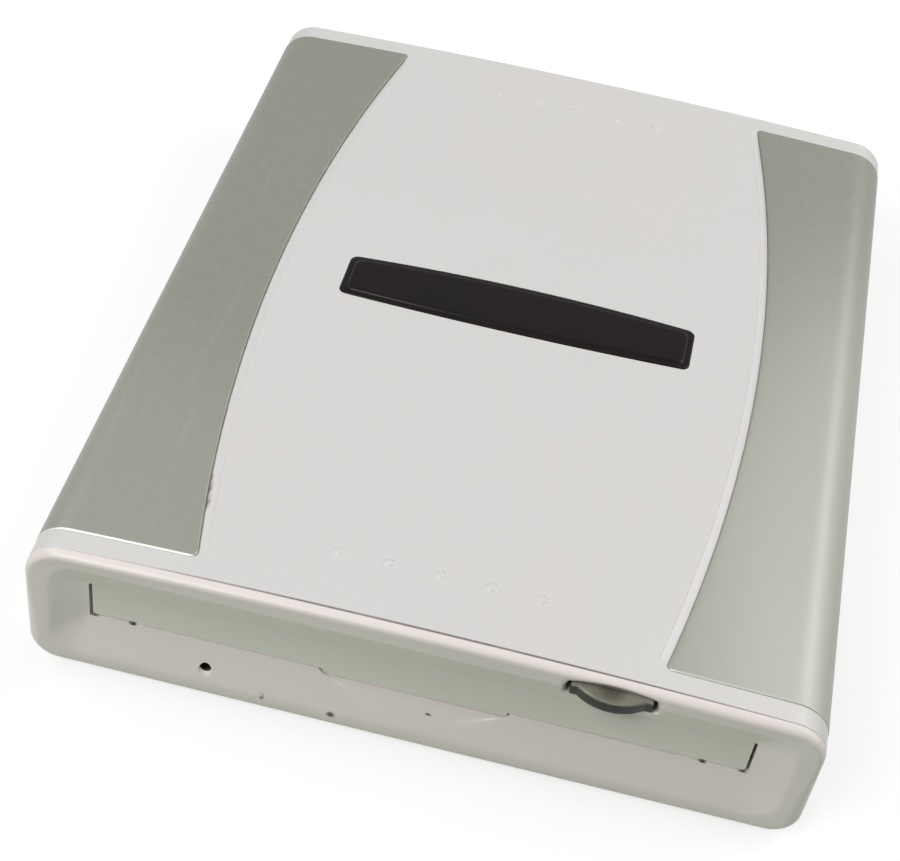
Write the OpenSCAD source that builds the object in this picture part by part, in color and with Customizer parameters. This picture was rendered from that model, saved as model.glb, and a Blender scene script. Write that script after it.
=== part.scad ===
// External magneto-optical disc drive: a slim white case with side grips, a sprung door,
// an eject button and the loading, spindle and head mechanism inside.
// Millimetres. X is to the right, Y to the rear, Z up. The feet stand on Z = 0.

/* [Case] */
// Width over both side grips
body_w = 110; // [109:0.5:118]
// Depth from the front rim to the rear panel
body_d = 134; // [133:0.5:146]
// Height of the case without its feet
case_h = 23.6; // [23.4:0.1:28]
// Radius of the slightly crowned top
crown_r = 1200; // [800:50:3000]
// Radius of the long top edges
shoulder_r = 5.5; // [4.5:0.25:7]
// Radius of the long bottom edges
bottom_r = 4.5; // [3.5:0.25:6]
// Wall of both covers
wall = 2; // [1.8:0.05:2.1]
// Height of the bottom cover's side walls
tray_h = 6.2; // [5.6:0.1:6.6]
// Height of the feet below the case
foot_h = 0.8; // [0.6:0.1:1.5]
// Radius of a foot
foot_r = 4.5; // [3:0.5:5]

/* [Grips and badge] */
// Thickness of a side grip
grip_t = 0.95; // [0.8:0.05:1.1]
// Depth of the grips below the white panel
grip_inset = 0.25; // [0.1:0.05:0.4]
// Half width of the white panel halfway along
panel_half_w = 38.5; // [36:0.5:42]
// Radius of the panel's long bowed edges
panel_edge_r = 300; // [260:10:600]
// White strip in front of the grips
front_strip = 2.9; // [2.4:0.1:6]
// White strip behind the grips
rear_strip = 3.6; // [3:0.1:6]
// Width of the bevel beside each grip
bevel_w = 1.3; // [0.6:0.1:2]
// Length of the badge plate
badge_l = 55.4; // [30:0.1:60]
// Width of the badge plate halfway along
badge_w = 10.5; // [5:0.1:14]
// Bow of the badge's long edges
badge_bow = 0.85; // [0.3:0.05:2]
// Distance between the raised dots
dot_pitch = 7.07; // [5:0.01:9]
// Radius of a raised dot
dot_r = 1.1; // [0.6:0.05:1.6]

/* [Bezel] */
// Depth of the bezel's rim in front of the covers
rim_d = 2.5; // [2.4:0.1:4]
// Depth of the funnel in front of the door
recess_d = 2.2; // [1.6:0.1:2.2]
// Rim at the left and right
rim_side = 3.5; // [2.8:0.1:4.5]
// Rim at the top
rim_top = 3; // [2.8:0.1:3.4]
// Rim at the bottom
rim_bottom = 3.5; // [3:0.1:4.5]
// Radius of the rim's outer front edge
rim_r = 1.4; // [0.6:0.1:1.8]
// Radius of the rim's inner edge
lip_r = 0.8; // [0.3:0.1:0.9]
// Radius of the emergency pinhole
pinhole_r = 0.8; // [0.5:0.05:1]

/* [Cartridge and door] */
// Width of the disc cartridge
cartridge_w = 90; // [88:0.5:90]
// Length of the disc cartridge
cartridge_l = 94; // [90:0.5:94]
// Thickness of the disc cartridge
cartridge_t = 6; // [5:0.1:6]
// Gap above and below the door
door_gap = 0.2; // [0.15:0.01:0.3]
// Gap at the door's ends
door_side = 0.45; // [0.2:0.05:0.6]
// Thickness of the door
door_t = 1.2; // [1:0.05:1.3]
// Half width of the tab in the door's lower edge
tab_half_w = 13; // [8:0.5:18]
// Drop of the tab below the door's lower edge
tab_h = 0.85; // [0.4:0.05:1]

/* [Eject button] */
// Centre of the button to the right of the middle
button_x = 25.9; // [24:0.1:28]
// Width of the button
button_w = 11.1; // [8:0.1:12]
// Thickness of the button
button_t = 1.9; // [1.4:0.1:2]
// Radius of the button's front edge
button_r = 7.1; // [6.5:0.1:12]
// Travel of the button
button_travel = 0.6; // [0.3:0.05:0.8]

/* [Loading] */
// Drop of the cartridge onto the turntable
drop = 2.6; // [2:0.1:2.6]
// Travel of the eject slider
slider_travel = 6; // [5:0.5:7]
// Sheet of the cartridge holder
holder_t = 0.6; // [0.4:0.05:0.7]
// Radius of the holder's guide pins
guide_r = 0.75; // [0.6:0.05:0.9]

/* [Head and spindle] */
// Distance from the cartridge's rear edge to the spindle
spindle_back = 47; // [46:0.5:48]
// Radius of the spindle motor's rotor
rotor_r = 12; // [10:0.5:12.5]
// Radius of the turntable
table_r = 10.5; // [8:0.5:11]
// Lens to spindle at the inner track
inner_track = 23.5; // [23:0.1:24]
// Travel of the head carriage
head_travel = 16; // [12:0.5:17]
// Distance between the guide rails
rail_gap = 24; // [23:0.5:25]
// Radius of a guide rail
rail_r = 1; // [0.8:0.05:1.1]

/* [Gears] */
// Module of the eject gears
gear_m = 0.8; // [0.78:0.01:0.82]
// Teeth of the gear on the rack
rack_gear_n = 12; // [12:1:13]
// Teeth of the large gear
large_gear_n = 22; // [20:1:22]
// Teeth of the motor pinion
pinion_n = 10; // [10:1:11]

/* [Boards] */
// Thickness of the circuit boards
board_t = 1; // [0.8:0.1:1.2]
// Height of the chips on the main board
chip_h = 1; // [0.7:0.05:1.1]

/* [Hidden] */
$fn = 48;

// clearances
fit = 0.1;
run = 0.05;
slack = 0.3;

// case
half_w = body_w / 2;
front_y = -body_d / 2;
rear_y = body_d / 2;
case_z = foot_h;
top_z = case_z + case_h;
floor_z = case_z + wall;
split_z = case_z + tray_h;
cover_y0 = front_y + rim_d;
rear_t = 1.8;
rear_r = 0.6;
cover_y1 = rear_y - rear_t;
spigot_l = 1.8;
spigot_t = 1.2;
shoulder_x = half_w - shoulder_r;
crown_c = top_z - crown_r;
shoulder_z = crown_c + sqrt((crown_r - shoulder_r) ^ 2 - shoulder_x ^ 2);
crown_a = asin(shoulder_x / (crown_r - shoulder_r));

// cover screws
boss_r = 2.4;
boss_x = half_w - wall - boss_r - slack;
boss_y = [front_y + 8.5, rear_y - 8.5];
cover_screw_r = 1;
cover_head_r = 1.9;
cover_head_h = 1.2;
cover_screw_l = 10;

// feet
foot_sink = 0.6;
foot_x = half_w - 14;
foot_y = rear_y - 10;

// grips and badge
grip_y0 = cover_y0 + front_strip;
grip_y1 = rear_y - rear_strip;
grip_z = split_z + 0.6;
grip_depth = grip_inset + grip_t;
panel_c = [panel_half_w - panel_edge_r, (grip_y0 + grip_y1) / 2];
grip_front_r = 0.9;
grip_rear_r = 0.6;
bevel_h = 0.4;
badge_y = 1.7;
badge_r = 1.2;
badge_sink = 0.5;
badge_proud = 0.15;
dot_h = 0.35;
dots = 5;
dot_rows = [grip_y0 + 6.6, grip_y1 - 6.7];

// heights of the stack inside, from the floor to the door
board_post_h = 0.6;
board_z = floor_z + board_post_h;
base_z = board_z + board_t + chip_h + 0.2;
base_t = 1.2;
base_top = base_z + base_t;
slider_z = base_top + fit;
slider_t = 0.8;
loaded_z = slider_z + slider_t + slack;
bay_z = loaded_z + holder_t + drop + fit;
bay_top = bay_z + cartridge_t;
holder_z = loaded_z + drop;
plate_z = bay_top + 0.2;
plate_top = plate_z + holder_t;

// cartridge bay
side_play = 0.2;
bay_y0 = front_y + recess_d + door_t + slack;
bay_y1 = bay_y0 + cartridge_l;
holder_in = cartridge_w / 2 + side_play;
holder_out = holder_in + holder_t;
holder_y1 = bay_y1 + side_play + holder_t;
rail_w = 5.5;

// door and its opening
open_hw = cartridge_w / 2 + 1.2;
open_z0 = bay_z - 0.45;
open_z1 = bay_top + 0.55;
open_r = 0.5;
door_y = front_y + recess_d;
bezel_back = cover_y0 + spigot_l;
door_hw = open_hw - door_side;
door_r = 0.6;
pivot_y = door_y + 0.9;
pivot_z = open_z1 + 0.5;
pivot_r = 0.6;
barrel_r = 0.7;
pin_l = 1.8;
pocket_top = pivot_z + 1.25;
door_reach = pivot_z - open_z0 + tab_h;
holder_y0 = pivot_y + door_reach + 0.5;
spring_w = 0.12;
spring_r = 0.62;
spring_pin_r = 0.4;
spring_turns = 3.75;
spring_pitch = 0.75;
spring_x = -door_hw + 0.8;
barrel_x0 = spring_x + spring_turns * spring_pitch + 0.4;

// rim and funnel
mouth_hw = half_w - rim_side;
mouth_z0 = case_z + rim_bottom;
mouth_z1 = top_z - rim_top;
mouth_r = 4.2;
pinhole_x = -29.2;
pinhole_z = slider_z;
key_x = 40;
key_w = 1;

// eject button and its board
button_z = max(open_z1 + 1.65, mouth_z1 - 1.9);
button_gap = 0.15;
button_side = 0.5;
button_back = front_y + 5.5;
button_cy = front_y + button_r;
brow_r = 28;
brow_half = button_w / 2 + 0.75;
brow_slope = 1.21;
stem_w = 4;
stem_t = 1;
// height that the back of the open door reaches
door_back_z = pivot_z + door_y + door_t - pivot_y;
board_below = 0.45;
front_board_z = max(max(plate_top, door_back_z) + 0.4, button_z - board_below);
front_board_top = front_board_z + board_t;
front_board_y = [button_back + button_travel + slack, button_back + 12];
front_board_hw = 8;
switch_y = button_back + 2.2;
switch_size = [6, 3, 1.6];
plunger_l = 0.9;
led_size = [1.6, 0.8, 0.8];
led_x = button_x - 5.4;
hang_x = 5.8;
hang_y = front_board_y[1] - 2.4;
hang_r = 1.7;
small_r = 0.7;
small_head_r = 1.4;
small_head_h = 0.6;

// drive frame
slider_in = holder_out + slack;
wing_t = 0.7;
slider_out = slider_in + wing_t;
frame_in = slider_out + slack;
frame_wall = 1.1;
frame_out = frame_in + frame_wall;
frame_y0 = holder_y0 + 2.5;
frame_y1 = rear_y - 11.5;
frame_wall_top = plate_z - 2.6;
mount_x = 37;
mount_y = [frame_y0 + 8, frame_y1 - 7];
mount_r = 3.4;
mount_screw_r = 1;
mount_head_r = 2.2;
mount_head_h = 0.9;

// guide pins of the holder and the cam that lifts it
guide_y = [bay_y0 + 25, bay_y0 + 80];
guide_z = holder_z + 2.6;
wing_top = guide_z + 2.2;
wing_y0 = holder_y0 + slider_travel - 3;
wing_y1 = bay_y1 - 4;
strip_y = [wing_y0, wing_y0 + 7];
key_tab_h = 2.6;

// spindle
spindle_y = bay_y1 - spindle_back;
flange_r = rotor_r + 3;
flange_t = 0.8;
shaft_r = 1.5;
bearing_r = 2.6;
rotor_z = base_z + 1;
rotor_top = loaded_z + 1.1;
table_t = 1;
table_top = rotor_top + table_t;
shaft_top = bay_z - 0.3;
poles = 9;
stator_t = 2;

// head
lens_y = spindle_y + inner_track;
rail_x = rail_gap / 2;
rail_z = base_z + 0.8;
well_hw = 29;
well_y0 = lens_y - 8.6;
well_y1 = lens_y + head_travel + 17;
rail_boss = 2.5;
carriage_z = base_z - 1;
carriage_t = 2.6;
carriage_l = 11;
sleeve_hw = 2.6;
coil_x = rail_x + 7;
coil_size = [6.6, 8, 3.6];
coil_wall = 1.1;
core_size = [2.4, 1.2];
lens_r = 2.1;
lens_z = carriage_z + carriage_t + 0.4;
lens_holder_t = 1.1;
wire_r = 0.12;
flex_t = 0.15;
flex_w = 5;
flex_lift = 0.1;
flex_turn = 1.2;
flex_tail = 8;
lens_holder_hw = 4.6;
lens_holder_y = [4.2, 3];
lens_seat = 0.4;
lens_rim = 0.3;
lens_dome_r = 4;
wire_x = 3.9;
wire_inset = 0.25;
wire_end = 1.4;
magnet_gap = 0.5;
magnet_t = 1.5;
magnet_h = 2.8;
magnet_end = 2.4;
yoke_t = 1.8;
yoke_lip = 0.8;
yoke_end = 2;

// eject gears
pressure = 25;
rack_t = 2.4;
rack_x = -(slider_in - 7);
gear_x = rack_x + gear_m * rack_gear_n / 2;
gear_y = holder_y1 + slider_travel + 5.4;
axle_r = 1;
mesh_a = 28;
motor_d = gear_m * (large_gear_n + pinion_n) / 2;
motor_x = gear_x + motor_d * cos(mesh_a);
motor_y = gear_y + motor_d * sin(mesh_a);
motor_r = 6;
motor_h = 7;
large_z = base_top + motor_h + 0.5;
gear_t = 1.8;
backlash = 0.14;

// shutter opener
opener_p = [12, holder_y1 + 8];
opener_l = 24;
opener_a = -66;
opener_t = 0.8;
opener_z = plate_top + fit;
opener_hw = 2;
opener_pin_r = 1.1;
opener_swing = 42;

// optics
optics_x = [-11, 16];
optics_y = [well_y1 + rail_boss + 0.2, frame_y1 - 0.6];
optics_h = 5.6;
optics_rim = 3;
optics_lip = 1.4;
optics_dish = 1.2;
tube_r = 1.7;
tube_l = 1.6;
tube_wall = 0.6;
diode_r = 2.8;
diode_t = 1.2;
diode_can_r = 1.8;
diode_can_l = 1.4;
diode_z = 3;
detector_hw = 8;
bias_hw = 14;
bias_y = [lens_y - 1, lens_y + head_travel + 1];

// connectors on the main board
board_hw = frame_out - 1.7;
board_y = [frame_y0 + 1, cover_y1 - spigot_l - 0.4];
board_post_x = board_hw - 2.4;
board_post_y = [-28, 24];
usb_x = 24;
usb_size = [7.7, 8.6, 3.9];
jack_x = 38;
jack_size = [9, 9.4, 6.4];
jack_r = 3.15;

function arc_pts(c, r, a0, a1, n) =
    [for (i = [0:n]) let (a = a0 + (a1 - a0) * i / n) [c[0] + r * cos(a), c[1] + r * sin(a)]];

// segments of the bottom corners, the shoulders and the crown in one case outline
seg_b = 6;
seg_s = 9;
seg_c = 12;

// outline of the case across its width, moved inwards by d
function section_pts(d) = let (
    bx = half_w - bottom_r,
    bz = case_z + bottom_r,
    rb = bottom_r - d,
    rs = shoulder_r - d,
    crown = arc_pts([0, crown_c], crown_r - d, 90 - crown_a, 90 + crown_a, seg_c)
) concat(
    arc_pts([bx, bz], rb, -90, 0, seg_b),
    arc_pts([shoulder_x, shoulder_z], rs, 0, 90 - crown_a, seg_s),
    [for (i = [1:seg_c - 1]) crown[i]],
    arc_pts([-shoulder_x, shoulder_z], rs, 90 + crown_a, 180, seg_s),
    arc_pts([-bx, bz], rb, 180, 270, seg_b)
);

// rounded opening with the same number of points as a case outline
function mouth_pts(hw, z0, z1, r) = concat(
    arc_pts([hw - r, z0 + r], r, -90, 0, seg_b),
    arc_pts([hw - r, z1 - r], r, 0, 90, seg_s),
    [for (i = [1:seg_c - 1]) [(hw - r) * (1 - 2 * i / seg_c), z1]],
    arc_pts([-hw + r, z1 - r], r, 90, 180, seg_s),
    arc_pts([-hw + r, z0 + r], r, 180, 270, seg_b)
);

function crown_z(x) = crown_c + sqrt(crown_r ^ 2 - x ^ 2);

// depth of the funnel's lower slope at height z
function slope_y(z) = door_y + (front_y + lip_r - door_y) * (open_z0 - z) / (open_z0 - mouth_z0);

module along_y(y0, y1) translate([0, y1, 0]) rotate([90, 0, 0]) linear_extrude(y1 - y0) children();

module block(x, y, z) translate([x[0], y[0], z[0]]) cube([x[1] - x[0], y[1] - y[0], z[1] - z[0]]);

module case_solid(d, y0, y1) along_y(y0, y1) polygon(section_pts(d));

module case_shell(d0, d1, y0, y1) difference() {
    case_solid(d0, y0, y1);
    case_solid(d1, y0 - 1, y1 + 1);
}

module mirrored() {
    children();
    mirror([1, 0, 0]) children();
}

// skin through a closed ring of outlines, each given as [y, points]
module ring_loft(rings) {
    n = len(rings[0][1]);
    m = len(rings);
    points = [for (r = rings, p = r[1]) [p[0], r[0], p[1]]];
    faces = [for (k = [0:m - 1], i = [0:n - 1]) let (
        a = k * n + i,
        b = k * n + (i + 1) % n,
        c = (k + 1) % m * n + (i + 1) % n,
        d = (k + 1) % m * n + i
    ) each [[a, c, b], [a, d, c]]];
    polyhedron(points, faces);
}

// screw with its head at the bottom and a cross recess
module screw(head_r, head_h, r, l) difference() {
    union() {
        cylinder(r = head_r, h = head_h);
        cylinder(r = r, h = head_h + l);
    }
    for (a = [0, 90]) rotate(a) translate([0, 0, head_h * 0.25])
        cube([head_r * 1.1, head_r * 0.3, head_h * 0.6], center = true);
}

module top_cover() color("#d4d3d0") {
    difference() {
        union() {
            difference() {
                case_shell(0, wall, cover_y0, cover_y1);
                block([-half_w - 1, half_w + 1], [cover_y0 - 1, cover_y1 + 1], [-1, split_z]);
            }
            intersection() {
                case_solid(wall / 2, cover_y0, cover_y1);
                union() {
                    for (x = [-boss_x, boss_x], y = boss_y)
                        translate([x, y, split_z]) cylinder(r = boss_r, h = case_h);
                    for (x = [-hang_x, hang_x])
                        translate([button_x + x, hang_y, front_board_top]) cylinder(r = hang_r, h = case_h);
                }
            }
        }
        mirrored() {
            grip_space(0);
            panel_bevel();
        }
        badge_space(fit);
        for (x = [-boss_x, boss_x], y = boss_y)
            translate([x, y, split_z - 1]) cylinder(r = cover_screw_r + 0.05, h = cover_screw_l);
        for (x = [-hang_x, hang_x]) translate([button_x + x, hang_y, front_board_top - 1])
            cylinder(r = small_r + 0.05, h = 3);
    }
    for (y = dot_rows, i = [0:dots - 1]) raised_dot((i - (dots - 1) / 2) * dot_pitch, y);
}

// low spherical button on the crown
module raised_dot(x, y) {
    r = (dot_r ^ 2 + dot_h ^ 2) / (2 * dot_h);
    intersection() {
        translate([x, y, crown_z(x) + dot_h - r]) sphere(r);
        translate([x, y, crown_z(x) - 0.2]) cylinder(r = dot_r + 0.4, h = 1);
    }
}

// plan of the right grip, smaller by c all round
function grip_pts(c) = let (
    big = panel_edge_r + c,
    y0 = grip_y0 + c,
    y1 = grip_y1 - c,
    rf = grip_front_r,
    rr = grip_rear_r,
    f = [panel_c[0] + sqrt((big + rf) ^ 2 - (y0 + rf - panel_c[1]) ^ 2), y0 + rf],
    g = [panel_c[0] + sqrt((big + rr) ^ 2 - (y1 - rr - panel_c[1]) ^ 2), y1 - rr],
    af = atan2(f[1] - panel_c[1], f[0] - panel_c[0]),
    ag = atan2(g[1] - panel_c[1], g[0] - panel_c[0]),
    edge = arc_pts(panel_c, big, ag, af, 28)
) concat(
    [[half_w + 1, y0]],
    [[half_w + 1, y1]],
    arc_pts(g, rr, 90, 180 + ag, 5),
    [for (i = [1:27]) edge[i]],
    arc_pts(f, rf, 180 + af, 270, 6)
);

// recess for the right grip in the outside of the cover
module grip_space(c) difference() {
    translate([0, 0, grip_z + c]) linear_extrude(case_h) polygon(grip_pts(c));
    case_solid(grip_depth, cover_y0, cover_y1);
}

// bevel of the white panel down to the grip
module panel_bevel() {
    span = asin((grip_y1 - grip_y0) / 2 / panel_edge_r);
    z = crown_z(panel_half_w);
    translate([panel_c[0], panel_c[1], 0]) rotate(-span) rotate_extrude(angle = 2 * span)
        polygon([
            [panel_edge_r - bevel_w, z + 1],
            [panel_edge_r - bevel_w, z + 0.05],
            [panel_edge_r + fit, z - bevel_h],
            [panel_edge_r + fit, z + 1]
        ]);
}

module right_grip() color("#a3a59b") intersection() {
    grip_space(fit);
    case_solid(grip_inset, cover_y0, cover_y1);
}

module left_grip() color("#a3a59b") mirror([1, 0, 0]) right_grip();

// outline of the badge, larger by c all round: two bowed edges with rounded corners
function badge_pts(c) = let (
    edge_r = (badge_l / 2) ^ 2 / (2 * badge_bow) + badge_bow / 2,
    edge_c = badge_w / 2 - edge_r,
    x = badge_l / 2 + c - badge_r,
    y = edge_c + sqrt((edge_r + c - badge_r) ^ 2 - x ^ 2),
    a = atan2(y - edge_c, x),
    edge = arc_pts([0, edge_c], edge_r + c, a, 180 - a, 24),
    half = concat(
        arc_pts([x, y], badge_r, 0, a, 5),
        [for (i = [1:23]) edge[i]],
        arc_pts([-x, y], badge_r, 180 - a, 180, 5)
    )
) concat(half, [for (q = half) -q]);

module badge_plan(c) translate([0, badge_y]) polygon(badge_pts(c));

module badge_space(c) difference() {
    translate([0, 0, split_z]) linear_extrude(case_h) badge_plan(c);
    case_solid(badge_sink, cover_y0, cover_y1);
}

module badge_plate() color("#26211f") intersection() {
    badge_space(0);
    case_solid(-badge_proud, cover_y0, cover_y1);
}

module bottom_cover() color("#d0cfcb") difference() {
    union() {
        difference() {
            case_shell(0, wall, cover_y0, cover_y1);
            block([-half_w - 1, half_w + 1], [cover_y0 - 1, cover_y1 + 1], [split_z, top_z + 1]);
        }
        for (x = [-boss_x, boss_x], y = boss_y)
            translate([x, y, floor_z - 0.1]) cylinder(r = boss_r, h = split_z - floor_z + 0.1);
        for (x = [-board_post_x, board_post_x], y = board_post_y)
            translate([x, y, floor_z - 0.1]) cylinder(r = 2, h = board_post_h + 0.1);
    }
    for (x = [-boss_x, boss_x], y = boss_y) translate([x, y, case_z - 1]) {
        cylinder(r = cover_screw_r + fit, h = tray_h + 2);
        cylinder(r = cover_head_r + fit, h = 1 + cover_head_h + 0.2);
    }
    for (x = [-mount_x, mount_x], y = mount_y) translate([x, y, case_z - 1]) {
        cylinder(r = mount_screw_r + fit, h = 2 * wall + 2);
        cylinder(r = mount_head_r + fit, h = 1 + mount_head_h + 0.1);
    }
    for (x = [-board_post_x, board_post_x], y = board_post_y)
        translate([x, y, floor_z - wall / 2]) cylinder(r = small_r + 0.05, h = wall);
    for (x = [-foot_x, foot_x], y = [-foot_y, foot_y])
        translate([x, y, case_z - 1]) cylinder(r = foot_r + 0.05, h = 1 + foot_sink);
}

module rubber_feet() color("#3a3a3a") for (x = [-foot_x, foot_x], y = [-foot_y, foot_y])
    translate([x, y, 0]) {
        cylinder(r1 = foot_r - 0.4, r2 = foot_r, h = 0.4);
        translate([0, 0, 0.4]) cylinder(r = foot_r, h = foot_h + foot_sink - 0.4);
    }

module cover_screws() color("silver") for (x = [-boss_x, boss_x], y = boss_y)
    translate([x, y, case_z + 0.2]) screw(cover_head_r, cover_head_h, cover_screw_r, cover_screw_l);

module front_bezel() color("#dcd6d1") difference() {
    ring_loft(concat(
        [[cover_y0, section_pts(0)]],
        [for (a = [0:22.5:90]) [front_y + rim_r * (1 - sin(a)), section_pts(rim_r * (1 - cos(a)))]],
        [for (a = [90:-22.5:0]) let (d = lip_r * (1 - cos(a))) [
            front_y + lip_r * (1 - sin(a)),
            mouth_pts(mouth_hw + d, mouth_z0 - d, mouth_z1 + d, mouth_r)
        ]],
        [
            [door_y, mouth_pts(open_hw, open_z0, open_z1, open_r)],
            [bezel_back, mouth_pts(open_hw, open_z0, open_z1, open_r)],
            [bezel_back, section_pts(wall + fit)],
            [cover_y0, section_pts(wall + fit)]
        ]
    ));
    hinge_pockets();
    button_slot();
    finger_notch();
    emergency_hole();
    for (x = [-key_x, key_x])
        block([x - key_w / 2, x + key_w / 2], [door_y - 0.1, bezel_back + 1], [open_z0 - 0.15, open_z0 + 1]);
}

// room for the door's hinge behind the upper slope, and the bores of its pins
module hinge_pockets() {
    y = [door_y + 0.05, bezel_back + 1];
    z = [open_z1 - 0.5, pocket_top];
    block([-open_hw, button_x - button_w / 2 - 2], y, z);
    block([button_x + button_w / 2 + 2, open_hw], y, z);
    block([-open_hw, open_hw], [pivot_y + fit, y[1]], [z[0], door_back_z + 0.2]);
    translate([-open_hw - pin_l - fit, pivot_y, pivot_z]) rotate([0, 90, 0])
        cylinder(r = pivot_r + run, h = 2 * (open_hw + pin_l + fit));
}

// slot of the eject button with an arched cut above it that rises to the front
module button_slot() {
    hw = button_w / 2 + button_side;
    top = button_z + button_t + button_gap;
    block([button_x - hw, button_x + hw], [front_y - 1, bezel_back + 1], [button_z - button_gap, top]);
    hull() {
        brow_arch(door_y, top);
        brow_arch(front_y - 1, top + brow_slope * (recess_d + 1));
    }
}

// thin slice of the cut above the button, with its arch at the given height
module brow_arch(y, top) along_y(y - 0.01, y) intersection() {
    translate([button_x, top - brow_r]) circle(brow_r, $fn = 240);
    translate([button_x - brow_half, button_z + button_t / 2]) square([2 * brow_half, case_h]);
}

// scoop in the lower slope in front of the door's tab
module finger_notch() {
    fade_z = open_z0 - 3.6;
    rotate([90, 0, 90]) translate([0, 0, -tab_half_w - door_gap])
        linear_extrude(2 * (tab_half_w + door_gap)) polygon([
            [slope_y(fade_z), fade_z],
            [door_y, open_z0 - tab_h - door_gap],
            [bezel_back + 1, open_z0 - tab_h - door_gap],
            [bezel_back + 1, open_z0 + 1],
            [door_y - 0.5, open_z0 + 1]
        ]);
}

module emergency_hole() translate([pinhole_x, 0, pinhole_z]) {
    rotate([90, 0, 0]) cylinder(r = pinhole_r, h = 2 * body_d, center = true);
    translate([0, slope_y(pinhole_z), 0]) sphere(pinhole_r + 0.2);
}

// thin slice of the rear panel's rounded edge
module rear_slice(a) along_y(rear_y - rear_r * (1 - sin(a)) - 0.02, rear_y - rear_r * (1 - sin(a)))
    polygon(section_pts(rear_r * (1 - cos(a))));

module rear_panel() color("#d0cfcb") difference() {
    union() {
        case_solid(0, cover_y1, rear_y - rear_r);
        for (a = [0, 45]) hull() {
            rear_slice(a);
            rear_slice(a + 45);
        }
        case_shell(wall + fit, wall + fit + spigot_t, cover_y1 - spigot_l, cover_y1 + 0.1);
    }
    block(
        [usb_x - usb_size[0] / 2 - 0.3, usb_x + usb_size[0] / 2 + 0.3],
        [cover_y1 - spigot_l - 1, rear_y + 1],
        [board_z + board_t - 0.3, board_z + board_t + usb_size[2] + 0.3]
    );
    block(
        [jack_x - jack_size[0] / 2 - 0.3, jack_x + jack_size[0] / 2 + 0.3],
        [cover_y1 - spigot_l - 1, rear_y + 1],
        [board_z + board_t - 0.3, board_z + board_t + jack_size[2] + 0.3]
    );
}

module door_flap() color("#cfcac4") difference() {
    union() {
        along_y(door_y, door_y + door_t) polygon(concat(
            arc_pts([door_hw - door_r, open_z0 + door_gap + door_r], door_r, -90, 0, 4),
            [[door_hw, open_z1 - door_gap / 2], [-door_hw, open_z1 - door_gap / 2]],
            arc_pts([-door_hw + door_r, open_z0 + door_gap + door_r], door_r, 180, 270, 4)
        ));
        block(
            [-tab_half_w, tab_half_w],
            [door_y, door_y + door_t],
            [open_z0 - tab_h + door_gap / 2, open_z0 + door_gap + 0.1]
        );
        for (x = [[barrel_x0, button_x - button_w / 2 - 2.3], [button_x + button_w / 2 + 2.3, door_hw]])
            hinge_barrel(x[0], x[1]);
        for (s = [-1, 1]) translate([s * (door_hw - 0.6), pivot_y, pivot_z]) rotate([0, s * 90, 0])
            cylinder(r = pivot_r, h = open_hw + pin_l - door_hw + 0.6);
        hinge_pin(-door_hw, barrel_x0 + 1);
    }
    block(
        [spring_x - 2 * spring_w, barrel_x0],
        [door_y - 1, door_y + door_t + 1],
        [pivot_z - spring_r - 2 * spring_w, pivot_z - spring_pin_r]
    );
    for (x = [-key_x, key_x])
        block([x - key_w / 2, x + key_w / 2], [door_y - 1, door_y + door_t + 1], [open_z0, open_z0 + 0.4]);
}

module hinge_pin(x0, x1) translate([x0, pivot_y, pivot_z]) rotate([0, 90, 0])
    cylinder(r = spring_pin_r, h = x1 - x0);

module hinge_barrel(x0, x1) {
    translate([x0, pivot_y, pivot_z]) rotate([0, 90, 0]) cylinder(r = barrel_r, h = x1 - x0);
    block([x0, x1], [pivot_y - barrel_r, pivot_y + 0.3], [open_z1 - 0.4, pivot_z]);
}

// unbroken wire through a list of points, as a tube of six sides
module wire(path, r) {
    n = len(path);
    dirs = [for (i = [0:n - 1]) unit(path[min(i + 1, n - 1)] - path[max(i - 1, 0)])];
    points = [for (i = [0:n - 1]) let (
        u = unit(cross(dirs[i], abs(dirs[i][0]) > 0.9 ? [0, 0, 1] : [1, 0, 0])),
        v = cross(dirs[i], u)
    ) for (a = [0:60:300]) path[i] + r * (cos(a) * u + sin(a) * v)];
    faces = concat(
        [[for (k = [0:5]) k]],
        [[for (k = [5:-1:0]) (n - 1) * 6 + k]],
        [for (i = [0:n - 2], k = [0:5]) let (
            a = i * 6 + k,
            b = i * 6 + (k + 1) % 6
        ) each [[a, a + 6, b], [b, a + 6, b + 6]]]
    );
    polyhedron(points, faces);
}

function unit(v) = v / norm(v);

// torsion spring round the left hinge pin, its legs on the bezel and the door
module door_spring() color("silver") {
    steps = spring_turns * 16;
    coil = [for (i = [0:steps]) let (a = 90 + 360 * spring_turns * i / steps) [
        spring_x + spring_pitch * spring_turns * i / steps,
        pivot_y + spring_r * cos(a),
        pivot_z + spring_r * sin(a)
    ]];
    wire(concat(
        [[spring_x, bezel_back - 2 * spring_w, pocket_top - spring_w - 0.03]],
        coil,
        [[spring_x + spring_pitch * spring_turns, door_y + door_t + spring_w + 0.03, pivot_z - 3.6]]
    ), spring_w);
}

module eject_button() color("#5d615c") difference() {
    union() {
        translate([0, 0, button_z]) linear_extrude(button_t) intersection() {
            union() {
                translate([button_x, button_cy]) circle(button_r);
                translate([button_x - button_w / 2, button_cy]) square([button_w, button_r]);
            }
            translate([button_x - button_w / 2, front_y]) square([button_w, button_back - front_y]);
        }
        block(
            [button_x - stem_w / 2, button_x + stem_w / 2],
            [button_back - 0.1, switch_y - plunger_l],
            [front_board_top + 0.4, front_board_top + 0.4 + stem_t]
        );
    }
    translate([button_x, front_y + 2.2, button_z + button_t + 11.7]) sphere(12, $fn = 96);
}

module switch_plunger() color("#e8e4d8") block(
    [button_x - 1.2, button_x + 1.2],
    [switch_y - plunger_l, switch_y - 0.05],
    [front_board_top + 0.4, front_board_top + 1.2]
);

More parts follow.
